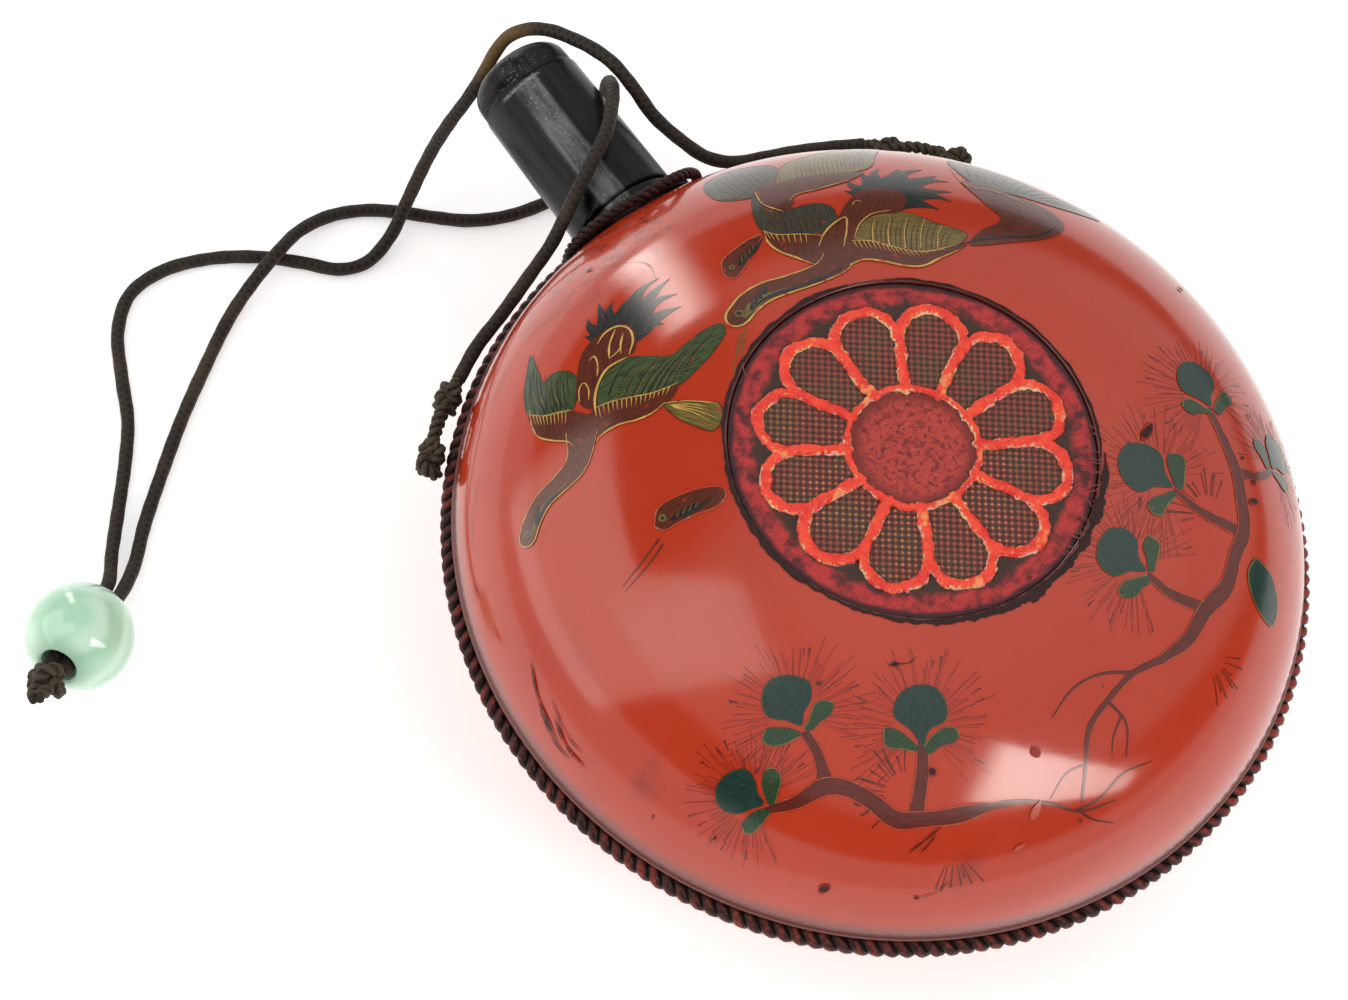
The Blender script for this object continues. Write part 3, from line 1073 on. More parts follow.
pineTwigs = {
    "lower": (
        ([(-47.4, -30.9), (-43.4, -32.4), (-38.8, -32.9), (-36.4, -34.8), (-34.4, -38.4), (-33.0, -42.2),
            (-29.6, -44.4), (-25.6, -46.4), (-21.0, -47.9)],
         (1.1, 1.8, 2.5, 2.2, 2.3, 2.5, 2.1, 2.4, 1.3)),
        ([(-36.9, -25.2), (-37.1, -28.6), (-38.4, -32.6)], (1.3, 1.5, 2.0)),
        ([(-24.3, -35.4), (-26.5, -38.8), (-30.4, -43.4)], (1.5, 1.9, 2.1)),
        ([(-21.4, -47.8), (-17.0, -49.6), (-12.9, -52.4), (-9.4, -55.8), (-3.6, -57.4)], (1.1, 0.7, 0.5, 0.4, 0.2)),
        ([(-9.4, -55.8), (-8.2, -57.8), (-5.2, -60.4)], (0.4, 0.15)),
        ([(-9.8, -55.4), (-6.0, -55.8), (-1.0, -54.6), (4.0, -55.4)], (0.4, 0.35, 0.3, 0.12)),
    ),
    "right": (
        ([(43.4, -16.3), (42.4, -22.2), (41.4, -26.2), (39.2, -30.4), (36.8, -34.2), (32.6, -36.8),
            (28.4, -39.9), (22.9, -41.2), (17.6, -43.4), (12.0, -43.8)],
         (1.2, 1.6, 2.1, 2.3, 2.4, 2.2, 2.6, 2.3, 2.0, 1.2)),
        ([(12.4, -43.8), (7.0, -43.3), (1.8, -44.5), (-2.8, -46.4), (-5.8, -50.6), (-8.6, -54.8)],
            (1.1, 0.8, 0.8, 0.8, 0.5, 0.35)),
        ([(28.6, -24.6), (30.6, -28.8), (35.8, -34.4)], (0.9, 1.5, 1.9)),
        ([(17.0, -32.8), (18.6, -36.6), (22.8, -41.0)], (1.0, 1.6, 1.8)),
        ([(49.9, -28.5), (46.4, -28.6), (41.4, -26.6)], (1.0, 1.5, 1.7)),
        ([(7.2, -43.2), (2.4, -40.9), (-2.2, -40.6), (-7.0, -42.4)], (0.6, 0.4, 0.3, 0.15)),
        ([(1.6, -44.6), (2.6, -48.6), (0.4, -52.8)], (0.5, 0.35, 0.15)),
        ([(2.4, -47.4), (-0.2, -49.4), (-1.6, -51.6)], (0.35, 0.12)),
        ([(-5.6, -50.4), (-8.8, -50.0), (-12.6, -51.8)], (0.35, 0.12)),
    ),
}
pineClumps = {  # place, size, direction of its stem, seed
    "lower": (((-36.4, -20.8), 6.0, 262, 1), ((-22.4, -32.2), 6.2, 238, 2), ((-48.8, -27.2), 5.6, 300, 3)),
    "right": (((44.6, -12.6), 6.2, 262, 4), ((26.4, -20.4), 6.8, 300, 5), ((15.2, -28.8), 6.2, 296, 6),
        ((53.6, -27.0), 5.6, 200, 7)),
}
looseFans = (  # places of single brush marks below the boughs: place, first angle, sweep, count
    ((-30.0, -40.0), 60, 130, 16), ((-28.0, -50.0), 215, 70, 7), ((32.0, -30.0), 20, 150, 14), ((20.0, -47.0),
        250, 80, 8),
)
chips = (  # place, length and width of each chip or bruise in the lacquer, and the finish that it shows
    ((30.4, -15.5), 3.2, 1.3, "chip"), ((43.8, -28.9), 1.1, 0.8, "chip"), ((41.7, -31.4), 2.1, 1.0, "chip"),
    ((44.2, -25.0), 0.7, 0.6, "chip"), ((-31.6, -21.0), 0.9, 0.6, "mark"), ((-11.4, -45.0), 1.5, 1.3, "bare"),
    ((-25.3, -39.5), 1.3, 1.1, "chip"), ((-47.0, -45.4), 1.8, 1.1, "chip"), ((-21.6, -24.7), 1.5, 0.5, "chip"),
    ((58.6, 3.9), 1.1, 0.8, "chip"), ((-15.4, -52.2), 2.6, 1.0, "scar"), ((-19.8, -55.5), 1.8, 0.7, "scar"),
    ((-36.2, -54.2), 0.9, 0.4, "chip"), ((-1.2, 21.6), 0.6, 0.3, "chip"), ((-17.9, 55.3), 1.2, 0.5, "mark"),
    ((-9.9, -57.0), 0.6, 0.5, "mark"), ((-62.0, -22.0), 0.7, 0.4, "mark"), ((-56.0, -30.0), 0.6, 0.4, "chip"),
)
scratches = (  # line, width, finish
    ([(-62.6, 8.0), (-65.4, 3.2), (-67.0, -2.6)], 0.5, "bruise"), ([(-64.0, 5.8), (-66.6, 0.6), (-67.6, -4.4)],
        0.3, "bruise"),
    ([(-65.2, -1.0), (-66.6, -5.6), (-66.2, -9.6)], 0.6, "bruise"), ([(-63.6, 1.4), (-65.2, -4.2),
        (-65.0, -8.0)], 0.22, "bruise"),
    ([(-66.4, 2.0), (-68.0, -3.8), (-67.6, -7.0)], 0.35, "bruise"), ([(-36.0, -54.4), (-33.2, -55.0),
        (-30.8, -54.4)], 0.16, "mark"),
    ([(-21.6, -24.7), (-19.8, -25.6), (-18.6, -25.4)], 0.16, "chip"), ([(-60.0, 30.0), (-57.0, 34.4),
        (-51.6, 38.8)], 0.12, "mark"),
    ([(-28.0, -46.6), (-31.0, -47.0), (-34.0, -47.3)], 0.34, "mark"), ([(-29.3, -47.2), (-30.8, -47.8),
        (-32.4, -48.2)], 0.28, "mark"),
    ([(-44.2, 46.8), (-38.0, 50.8), (-30.2, 52.4), (-24.4, 51.0)], 0.13, "mark"), ([(-20.4, 52.8), (-14.6, 52.0),
        (-11.8, 47.8), (-13.0, 43.6)], 0.13, "mark"),
)
loneHeads = (  # outline, tip, a place behind it, width
    ([(-36.9, 10.5), (-36.2, 9.1), (-34.3, 8.8), (-31.2, 8.2), (-28.3, 7.4), (-26.5, 8.0), (-26.2, 9.2),
        (-27.7, 10.5), (-31.9, 12.1), (-35.0, 12.3)], (-35.3, 10.7), (-27.0, 9.2), 3.0),
    ([(-5.0, 38.6), (-3.9, 40.0), (-1.6, 40.7), (2.1, 41.0), (3.7, 40.6), (2.0, 39.3), (0.0, 38.2), (-2.6, 36.6),
        (-4.5, 36.1), (-5.3, 37.1)], (-3.6, 38.0), (3.4, 40.4), 2.6),
)
strayLeaf = ((36.4, -38.6), (33.4, -40.0), (32.4, -44.4), (34.4, -48.6), (37.2, -46.8), (38.2, -42.0))
panelEdge = {  # lacquer lost round the front panel: first and last angle, distance from the axis, widths along it
    "lowerRight": (-34, -62, 26.9, (0.1, 0.5, 1.4, 0.7, 1.8, 1.2, 0.4)),
    "bottom": (-60, -104, 26.9, (0.3, 1.2, 0.8, 1.5, 1.0, 1.7, 1.1, 1.4, 0.5)),
    "lowerLeft": (-100, -150, 26.6, (0.5, 1.0, 0.7, 1.1, 0.5, 0.9, 0.3, 0.6, 0.25)),
    "left": (212, 150, 26.5, (0.2, 0.5, 0.9, 1.0, 0.5, 0.8, 0.4)),
    "upperLeft": (152, 74, 26.5, (0.3, 0.4, 0.6, 0.35, 0.6, 0.5, 0.7, 0.2)),
    "right": (-36, 62, 26.4, (0.2, 0.3, 0.2, 0.35, 0.25, 0.3, 0.12)),
}


def paintGeese(sheet):
    for shape in (farGooseLeft, farGooseRight, leftGoose, topGoose):
        goose(sheet, shape)
    for head in loneHeads:
        loneHead(sheet, *head)
    for shift in (0.0, 1.0):
        low = [(-37.4, 8.6 - shift), (-41.2, 7.4 - shift), (-45.4, 6.4 - shift * 0.8)]
        stroke(sheet, low, (0.24, 0.18, 0.08), "umber", 3)
        high = [(-9.8 + shift, 27.6), (-12.8 + shift, 24.6), (-15.4 + shift * 1.8, 21.4)]
        stroke(sheet, high, (0.3, 0.2, 0.1), "olive", 3)


def paintPine(sheet, tree, material):
    for centre, start, sweep, count in looseFans:
        needles(sheet, tree, material, centre, start, sweep, count, 11 + count, 3.0, 4.6, 0.26, "mark")
    for bough in ("lower", "right"):
        for number, (line, widths) in enumerate(pineTwigs[bough]):
            stroke(sheet, line, widths, "wood", 2)
            if max(widths) <= 1.4:
                continue
            fine, share, _ = evenly(smoothRoute(line), 1.6)
            half = spreadOut(widths, share)[:, None] / 2
            for side in (-half, half):
                edge = list(fine + leftOf(fine) * side)
                stroke(sheet, edge[:-1] if number else edge, 0.15, "pale", 4)
        for centre, size, stem, seed in pineClumps[bough]:
            pineCluster(sheet, tree, material, centre, size, stem, seed)
    patch(sheet, strayLeaf, "pine", 5, 80, "olive", 0.24)


def paintWear(sheet):
    for (x, y), long, wide, finish in chips:
        rng = random.Random(int(x * 10))
        turn = rng.uniform(0, 3.1)
        c, s = math.cos(turn), math.sin(turn)
        for scale, shown, layer in ((1.2, "bare" if finish == "chip" else finish, 9), (1.0, finish, 10)):
            outline = []
            for a in np.arange(8) * math.pi / 4:
                px, py = long / 2 * math.cos(a), wide / 2 * math.sin(a)
                reach = scale * rng.uniform(0.75, 1.2)
                outline.append((x + reach * (px * c - py * s), y + reach * (px * s + py * c)))
            patch(sheet, outline, shown, layer)
    for line, width, finish in scratches:
        stroke(sheet, line, (0.05, width, width * 0.5, width, 0.05), finish, 9)
    for first, last, away, widths in panelEdge.values():
        count = 40
        angles = np.radians(np.linspace(first, last, count))
        rng = np.random.default_rng(abs(int(first)))
        reach = away + rng.uniform(-0.12, 0.22, count)
        rough = spreadOut(widths, np.linspace(0, 1, count)) * rng.uniform(0.6, 1.35, count)
        stroke(sheet, list(np.c_[reach * np.cos(angles), reach * np.sin(angles)]), list(rough), "chip", 7)


def makePainting():
    # Geese in flight over the upper dome, pine boughs over the lower, and wear over both
    random.seed(paint["seed"])
    materials = {name: paintFinish(name) for name in finishes}
    sheets = {name: newSheet() for name in ("painted_geese", "painted_pine", "lacquer_chips")}
    paintGeese(sheets["painted_geese"])
    paintPine(sheets["painted_pine"], needleTree(), materials["needle"])
    paintWear(sheets["lacquer_chips"])
    for name, sheet in sheets.items():
        used = [f for f in finishes if f in sheet["finish"]]
        places, normals = onDome(sheet["flat"], sheet["lifts"])
        indices = [used.index(f) for f in sheet["finish"]]
        shown = [materials[f] for f in used]
        declare(makePiece(name, places, sheet["faces"], shown, sheet["uvs"], indices, normals=normals), "red_lacquer")
        print(name, len(sheet["faces"]), "faces")


# The flower panels: a carved disc whose relief comes from the distance to the lines of the tracery
panel = {
    "radius": panelHigh.x,
    "thickness": 0.0016,
    "relief": 0.0008,
    "petals": 12,
    "lineWidth": 0.00165,
    "hubRadius": 0.0084,
    "margin": 0.0031,
    "rings": (150, 70),
    "segments": (520, 260),
    "wander": ((0.00022, 0.0032), (0.00010, 0.0011)),  # reach and grain of the unevenness of the lines
    "rough": ((0.00016, 0.0012), (0.00016, 0.0005)),  # the same for their edges
    "bevel": 0.00055,
    "pits": (0.00008, 0.0009),
    "hubDome": 0.00018,
    "hubGrain": (0.00005, 0.0007),
    "hubSeam": 0.0002,
    "thread": 0.0009,
}


def gridNoise(x, y, cell, seed):
    # Soft noise from -1 to 1 on a plane, in cells of a given size
    rng = np.random.default_rng(seed)
    table = rng.uniform(-1, 1, (64, 64))
    u, v = x / cell + 32, y / cell + 32
    i, j = np.floor(u).astype(int), np.floor(v).astype(int)
    fu, fv = u - i, v - j
    fu, fv = fu * fu * (3 - 2 * fu), fv * fv * (3 - 2 * fv)
    at = lambda a, b: table[a % 64, b % 64]
    low = at(i, j) * (1 - fu) + at(i + 1, j) * fu
    high = at(i, j + 1) * (1 - fu) + at(i + 1, j + 1) * fu
    return low * (1 - fv) + high * fv


def traceryDistance(x, y):
    # Distance from the middle of the nearest raised line: spokes, petal ends and hub ring
    sector = math.pi / panel["petals"]
    half = panel["lineWidth"] / 2
    reach = panel["radius"] - panel["margin"] - half
    centre = reach / (1 + math.sin(sector))
    petal = centre * math.sin(sector)
    hub = panel["hubRadius"] + half
    radius, angle = np.hypot(x, y), np.arctan2(y, x)
    fold = np.abs((angle % (2 * sector)) - sector)
    px, py = radius * np.cos(fold), radius * np.sin(fold)
    along = radius * np.cos(sector - fold)
    aside = radius * np.sin(sector - fold)
    last = centre * math.cos(sector)
    spoke = np.hypot(aside, along - np.clip(along, hub, last))
    turn = np.arctan2(py, px - centre)
    arc = np.abs(np.hypot(px - centre, py) - petal)
    arc = np.where(turn < sector + math.pi / 2, arc, 1.0)
    inPetal = (np.hypot(px - centre, py) < petal) | ((along < last) & (radius > hub))
    return np.minimum(np.minimum(spoke, arc), np.abs(radius - hub) * 1.7), radius, inPetal


def panelMesh(name, materials, side, quality, openHub):
    rings, segments = panel["rings"][quality], panel["segments"][quality]
    radii = np.linspace(0, panel["radius"], rings)[1:]
    turns = np.linspace(0, 2 * math.pi, segments, endpoint=False)
    x = np.r_[0, np.outer(radii, np.cos(turns)).ravel()]
    y = np.r_[0, np.outer(radii, np.sin(turns)).ravel()]

    def uneven(layers, seed):
        return sum(reach * gridNoise(x, y, grain, seed + k) for k, (reach, grain) in enumerate(layers))

    # the lines wander a little, and their width and edges are uneven where they are chipped
    away, radius, inPetal = traceryDistance(x + uneven(panel["wander"], 1), y + uneven(panel["wander"], 3))
    edge = away - panel["lineWidth"] / 2 - uneven(panel["rough"], 5)
    rise = np.clip(-edge / panel["bevel"], 0, 1)
    height = panel["relief"] * np.sqrt(1 - (1 - rise) ** 2)
    depth, grain = panel["pits"]
    height -= (rise > 0.9) * np.clip(gridNoise(x, y, grain, 7), 0, 1) * depth
    if not openHub:
        height = np.where(radius < panel["hubRadius"] + panel["hubSeam"], panel["relief"], height)
    hubDome = panel["hubDome"] * (1 - np.clip(radius / panel["hubRadius"], 0, 1) ** 2) + uneven((panel["hubGrain"],), 8)
    height = np.where((rise <= 0) & (radius < panel["hubRadius"]), np.maximum(hubDome, 0), height)
    height = np.clip(height, 0, panel["relief"])
    face = panelHigh.z - seamHeight - panel["relief"]
    back = face - panel["thickness"]
    points = [(a, b, face + h) for a, b, h in zip(x, y, height)]
    onward = [(k, (k + 1) % segments) for k in range(segments)]
    faces = [[0, 1 + k, 1 + n] for k, n in onward]
    for i in range(len(radii) - 1):
        a, b = 1 + i * segments, 1 + (i + 1) * segments
        faces += [[a + k, b + k, b + n, a + n] for k, n in onward]
    rim = 1 + (len(radii) - 1) * segments
    low = len(points)
    points += [(radii[-1] * math.cos(t), radii[-1] * math.sin(t), back) for t in turns] + [(0, 0, back)]
    faces += [[rim + k, low + k, low + n, rim + n] for k, n in onward]
    faces += [[low + segments, low + n, low + k] for k, n in onward]
    points = np.array(points) * ((1, 1, 1) if side > 0 else (-1, 1, -1)) + (0, 0, seamHeight)
    marks = {"edge": (edge / mm, 3.0), "reach": (radius / mm, 30.0), "petal": (inPetal * 1.0, 0.0)}
    extra = len(points) - len(edge)
    attributes = {key: np.r_[values, np.full(extra, rest)] for key, (values, rest) in marks.items()}
    return makePiece(name, points, faces, materials, attributes=attributes)


def panelFinish():
    material, tree, shader = startMaterial("crimson panel")
    where = objectPlace(tree)
    edge, reach, inPetal = (attribute(tree, name) for name in ("edge", "reach", "petal"))
    fine = noiseAt(tree, where, 1700, 4, 0.65)
    blots = noiseAt(tree, where, 420, 4, 0.65)
    # woven ground in the petals: a square grid of fine threads with pale crossings, gilt to the left
    turned = split(tree, stretched(tree, where, (1, 1, 1), (0, 0, math.radians(36))))
    waves = [calc(tree, "COSINE", times(tree, turned[k], 2 * math.pi / panel["thread"])) for k in (0, 1)]
    crossing = plus(tree, *waves)
    threads = between(tree, crossing, -0.8, 0.9)
    redWeave = mixColour(tree, threads, (0.070, 0.020, 0.015), (0.25, 0.058, 0.036))
    brownWeave = mixColour(tree, threads, (0.060, 0.028, 0.016), (0.19, 0.075, 0.036))
    weave = mixColour(tree, between(tree, noiseAt(tree, where, 210, 2), 0.45, 0.6), redWeave, brownWeave)
    parts = split(tree, where)
    spotted = mixColour(tree, between(tree, parts[0], -0.016, 0.0), (0.62, 0.34, 0.14), (0.85, 0.26, 0.17))
    farSide = between(tree, plus(tree, parts[0], parts[1]), -0.004, 0.012)
    spotted = mixColour(tree, farSide, spotted, (0.40, 0.07, 0.05))
    faded = between(tree, noiseAt(tree, where, 160, 2), 0.38, 0.62, (0.35, 1.0))
    spots = times(tree, between(tree, crossing, 1.0, 1.9), between(tree, fine, 0.35, 0.62), faded)
    weave = mixColour(tree, spots, weave, spotted)
    # crimson outer band and hub, blotched with black
    ground = mixColour(tree, between(tree, blots, 0.33, 0.60), (0.075, 0.012, 0.018), (0.50, 0.034, 0.032))
    scored = between(tree, noiseAt(tree, stretched(tree, where, (1, 5, 1), (0, 0, 0.6)), 900, 3, 0.6), 0.56, 0.66)
    ground = layered(tree, ground, (scored, 0.5, (0.05, 0.010, 0.016)))
    dots = between(tree, noiseAt(tree, where, 1300, 3, 0.6), 0.36, 0.52)
    hub = layered(
        tree, mixColour(tree, dots, (0.17, 0.018, 0.020), (0.47, 0.050, 0.036)),
        (between(tree, blots, 0.52, 0.70), 1.0, (0.24, 0.022, 0.024)),
        (between(tree, noiseAt(tree, where, 2300, 2), 0.66, 0.74), 1.0, (0.66, 0.14, 0.10)),
        (between(tree, reach, 6.6, 8.4), 1.0, mixColour(tree, blots, (0.12, 0.020, 0.016), (0.34, 0.034, 0.026))),
    )
    notch = times(
        tree, minus(tree, 1.0, inPetal), below(tree, plus(tree, reach, times(tree, blots, 1.6)), 22.6, 24.0),
        minus(tree, 1.0, below(tree, reach, 8.6, 9.0)),
    )
    floor = layered(
        tree, mixColour(tree, inPetal, ground, weave),
        (below(tree, reach, 8.6, 8.8), 1.0, hub),
        (notch, 1.0, (0.05, 0.022, 0.014)),
        (below(tree, edge, 0.0, 0.35), 0.6, (0.02, 0.006, 0.008)),  # a dark line under the tracery's foot
        (between(tree, plus(tree, reach, times(tree, blots, 1.2)), 25.4, 26.1), 0.9, (0.012, 0.006, 0.01)),
    )
    # tracery: orange-red on top, pale pink and cream where its edges are chipped
    top = mixColour(tree, between(tree, blots, 0.35, 0.62), (0.80, 0.036, 0.022), (0.95, 0.075, 0.034))
    pale = mixColour(tree, between(tree, blots, 0.4, 0.6), (0.90, 0.44, 0.36), (0.92, 0.66, 0.28))
    chipped = between(tree, plus(tree, edge, times(tree, fine, 1.5)), 0.52, 0.64)
    patchy = between(tree, noiseAt(tree, where, 300, 3, 0.6), 0.44, 0.58)
    raised = layered(
        tree, top,
        (between(tree, noiseAt(tree, where, 260, 3, 0.6), 0.60, 0.68), 1.0, (0.93, 0.28, 0.10)),
        (times(tree, chipped, patchy), 1.0, pale),
        (between(tree, noiseAt(tree, where, 2600, 2), 0.66, 0.72), 0.5, (0.9, 0.42, 0.3)),
    )
    colour = mixColour(tree, below(tree, edge, -0.04, 0.02), floor, raised)
    height = plus(tree, times(tree, crossing, inPetal, 0.35), times(tree, fine, 1.2))
    gloss = between(tree, fine, 0.3, 0.7, (0.20, 0.42))
    setShader(tree, shader, colour, gloss, height, 0.6, 0.00015, Specular_IOR_Level=0.42)
    return material


def makePanels():
    material = panelFinish()
    declare(panelMesh("front_flower_panel", [material], 1, 0, True), "panel_lacquer", "front_panel")
    declare(panelMesh("back_flower_panel", [material], -1, 1, False), "panel_lacquer", "back_panel")


# Spout and cap: turned pieces along +Y
spout = {
    "seatRadius": 0.0084,
    "seatTop": 0.0639,
    "saddleRadius": 0.0105,
    "saddleThickness": 0.0011,
    "tubeRadius": 0.0062,
    "tubeBore": 0.0044,
    "tubeTip": 0.0784,
    "foot": (0.0615, 0.0600),
    "edge": 0.0003,
    "bevel": 0.0001,
    "sunk": 0.0003,
    "overlap": 0.0004,
    "plateEdge": 0.00022,
    "plateSegments": 120,
}
cap = {
    "rimRadius": 0.00865,
    "topRadius": 0.0083,
    "bore": 0.0066,
    "boreDepth": 0.0225,
    "collar": 0.0052,
    "groove": 0.0003,
    "rounding": 0.0029,
    "segments": 144,
    "crown": (0.00002, 0.00008),  # how far its end falls at three fifths and at the edge of its flat
    "bevel": 0.0002,
    "lip": 0.0005,
    "rimHeight": 0.0006,
    "boreCone": 0.0026,
    "paring": 0.006,
    "facetTurn": 1.95,
    "grooveLine": 0.0055,
    "edgeLine": 0.0064,
}
alongSpout = Matrix.Translation((0, 0, seamHeight)) @ Matrix.Rotation(-math.pi / 2, 4, "X")


def blackLacquer():
    material, tree, shader = startMaterial("worn black lacquer")
    where = objectPlace(tree)
    grain = noiseAt(tree, stretched(tree, where, (1, 0.12, 1)), 900, 4, 0.6)
    fine = noiseAt(tree, where, 2200, 4, 0.65)
    parts = split(tree, where)
    turn = calc(tree, "ARCTAN2", minus(tree, parts[2], seamHeight), parts[0])
    # the rubbed facet on the upper left side of the cap, beside a darker stripe
    wander = plus(tree, turn, times(tree, minus(tree, noiseAt(tree, where, 120, 3), 0.5), 0.12))
    aside = minus(tree, wander, cap["facetTurn"])
    facet = below(tree, calc(tree, "ABSOLUTE", aside), 0.19, 0.28)
    stripe = below(tree, apart(tree, aside, 0.42), 0.05, 0.16)
    ring = between(tree, parts[1], capHigh.y - 0.0075, capHigh.y - 0.0045)
    barrel = below(tree, parts[1], capHigh.y - 0.0068, capHigh.y - 0.0058)
    groove = below(tree, apart(tree, parts[1], capHigh.y - cap["grooveLine"]), 0.0002, 0.0005, 0.9)
    nearFacet = below(tree, apart(tree, aside, 0.1), 0.3, 0.5, 0.7)
    edge = below(tree, apart(tree, parts[1], capHigh.y - cap["edgeLine"]), 0.0001, 0.0004)
    colour = layered(
        tree, mixColour(tree, between(tree, grain, 0.3, 0.7), (0.009, 0.009, 0.010), (0.017, 0.017, 0.019)),
        (times(tree, facet, barrel, between(tree, grain, 0.2, 0.75)), 1.0, (0.165, 0.165, 0.17)),
        (stripe, 1.0, (0.003, 0.003, 0.004)),
        (times(tree, between(tree, fine, 0.58, 0.66), facet), 0.6, (0.36, 0.36, 0.36)),
        (times(tree, ring, between(tree, fine, 0.58, 0.72)), 1.0, (0.12, 0.11, 0.10)),
        (groove, 1.0, (0.002, 0.002, 0.002)),
        (times(tree, edge, between(tree, fine, 0.3, 0.6), nearFacet), 1.0, (0.30, 0.30, 0.30)),
    )
    roughness = between(tree, grain, 0.3, 0.7, (0.2, 0.36))
    setShader(tree, shader, colour, roughness, grain, 0.16, 0.0001, Specular_IOR_Level=0.17)
    return material


def makeCap(material):
    # A turned cap with a step below its rounded end and a blind bore that takes the spout
    start, end = capLow.y, capHigh.y
    collar, groove = end - cap["collar"], cap["groove"]
    shoulder = cap["topRadius"] - groove
    face = shoulder - cap["rounding"]
    bevel, lip = cap["bevel"], cap["lip"]
    profile = [(0.0, end), (face * 0.6, end - cap["crown"][0]), (face, end - cap["crown"][1])]
    for angle in np.linspace(8, 84, 12):
        a = math.radians(angle)
        profile.append((face + cap["rounding"] * math.sin(a), end - cap["rounding"] * (1 - math.cos(a))))
    profile += [(shoulder, end - cap["rounding"] - bevel / 2), (shoulder, collar + groove * 1.6)]
    profile += roundCorner((shoulder - groove * 0.5, collar + groove), groove * 0.6, 60, -60, 4)
    profile += roundCorner((cap["topRadius"] - groove * 0.5, collar - groove * 0.9), groove * 0.5, 60, 0, 4)
    flare, fall = cap["rimRadius"] - cap["topRadius"], start + cap["rimHeight"] - collar + groove
    profile += [(cap["topRadius"] + flare * t, collar - groove + fall * t) for t in (0.3, 0.7, 1.0)]
    profile += roundCorner((cap["rimRadius"] - lip, start + lip), lip, 0, -90, 6)
    bore, bottom = cap["bore"], start + cap["boreDepth"]
    profile += [(bore + bevel, start), (bore, start + bevel), (bore, bottom - cap["boreCone"])]
    profile += [(bore * 0.55, bottom), (0.0, bottom)]
    points, faces = revolve(profile, cap["segments"])
    # the cap was pared by hand: its round is very slightly faceted along its length
    turns = np.arctan2(points[:, 1], points[:, 0])
    outside = np.hypot(points[:, 0], points[:, 1]) > bore + bevel
    pared = 1 - cap["paring"] * (0.5 - 0.5 * np.cos(turns * 10)) * outside
    points[:, :2] *= pared[:, None]
    points = np.array([alongSpout @ Vector(p) for p in points])
    declare(makePiece("turned_cap", points, faces, [material]), "black_lacquer", "cap")


def makeSpout(material):
    # Tube and seat under the cap, and a saddle plate that follows the body
    top, seat, edge = spout["seatTop"], spout["seatRadius"], spout["edge"]
    tube, bore, tip = spout["tubeRadius"], spout["tubeBore"], spout["tubeTip"]
    profile = [(bore, tip - edge), (bore + edge, tip), (tube - edge, tip), (tube, tip - edge)]
    profile += [(tube, top + spout["bevel"]), (tube + spout["bevel"], top), (seat - edge, top)]
    profile += roundCorner((seat - edge, top - edge), edge, 80, 0, 4)
    profile += [(seat, spout["foot"][0]), (seat, spout["foot"][1]), (bore, spout["foot"][1])]
    points, faces = revolve(profile, 96, closed=True)
    points = [tuple(alongSpout @ Vector(p)) for p in points]
    # plate: rings of points on the body's surface, raised by the plate's thickness, then its edge
    inner, outer, count = seat - spout["overlap"], spout["saddleRadius"], spout["plateSegments"]
    sunk, thick = spout["sunk"], spout["saddleThickness"]
    rings = [(inner, sunk), (inner, sunk + thick), (outer * 0.97, sunk + thick)]
    rings += [(outer, spout["plateEdge"] + thick * 0.75), (outer, sunk)]
    start = len(points)
    for radius, stand in rings:
        for k in range(count):
            turn = 2 * math.pi * k / count
            x, z = radius * math.cos(turn), radius * math.sin(turn)
            points.append((x, math.sqrt(domeRadiusAt(z, stand) ** 2 - x**2), seamHeight + z))
    for i in range(len(rings)):
        a, b = start + i * count, start + (i + 1) % len(rings) * count
        faces += [[a + k, b + k, b + (k + 1) % count, a + (k + 1) % count][::-1] for k in range(count)]
    declare(makePiece("spout_and_saddle", points, faces, [material]), "black_lacquer", "spout")


# Knots: a closed loop that crosses itself three times, laid with twisted strands
def knotPath(centre, size, axes, count=160):
    # A trefoil whose half sizes lie along the given axes
    points = []
    for t in np.linspace(0, 2 * math.pi, count, endpoint=False):
        x = (math.sin(t) + 2 * math.sin(2 * t)) / 3
        y = (math.cos(t) - 2 * math.cos(2 * t)) / 3
        z = -math.sin(3 * t)
        points.append(centre + axes[0] * x * size[0] + axes[1] * y * size[1] + axes[2] * z * size[2])
    return points


lug = {
    "angles": (37.6, 46.6),
    "stand": 0.0022,
    "knots": ((0.0020, 0.0016, 0.0011), (0.0026, 0.0018, 0.0012)),
    "strand": 0.00055,
    "twist": 0.00042,
    "pitch": 0.0026,
    "step": 0.0003,
    "rise": 0.0003,
    "spread": 0.0019,
}
endKnot = {
    "size": (0.0024, 0.0021, 0.0012),
    "behind": 0.0025,
    "ends": (-0.0011, 0.0009),
    "endLength": 0.0042,
    "strand": 0.00062,
    "twist": 0.00046,
    "pitch": 0.003,
    "step": 0.0003,
}


def rimPlace(side, degrees, stand, height):
    angle = math.radians(degrees)
    outwards = Vector((side * math.sin(angle), math.cos(angle), 0))
    along = Vector((side * math.cos(angle), -math.sin(angle), 0))
    place = outwards * (ropeRing + ropeRadius + stand)
    return place + Vector((0, 0, seamHeight + height)), along, outwards


def joinPieces(name, pieces):
    # One mesh from several, with their materials and attributes kept
    made = bmesh.new()
    for piece in pieces:
        made.from_mesh(piece.data)
    mesh = pieces[0].data.copy()
    made.to_mesh(mesh)
    made.free()
    mesh.name = name
    for piece in pieces:
        bpy.data.objects.remove(piece, do_unlink=True)
    return makeObject(name, mesh)


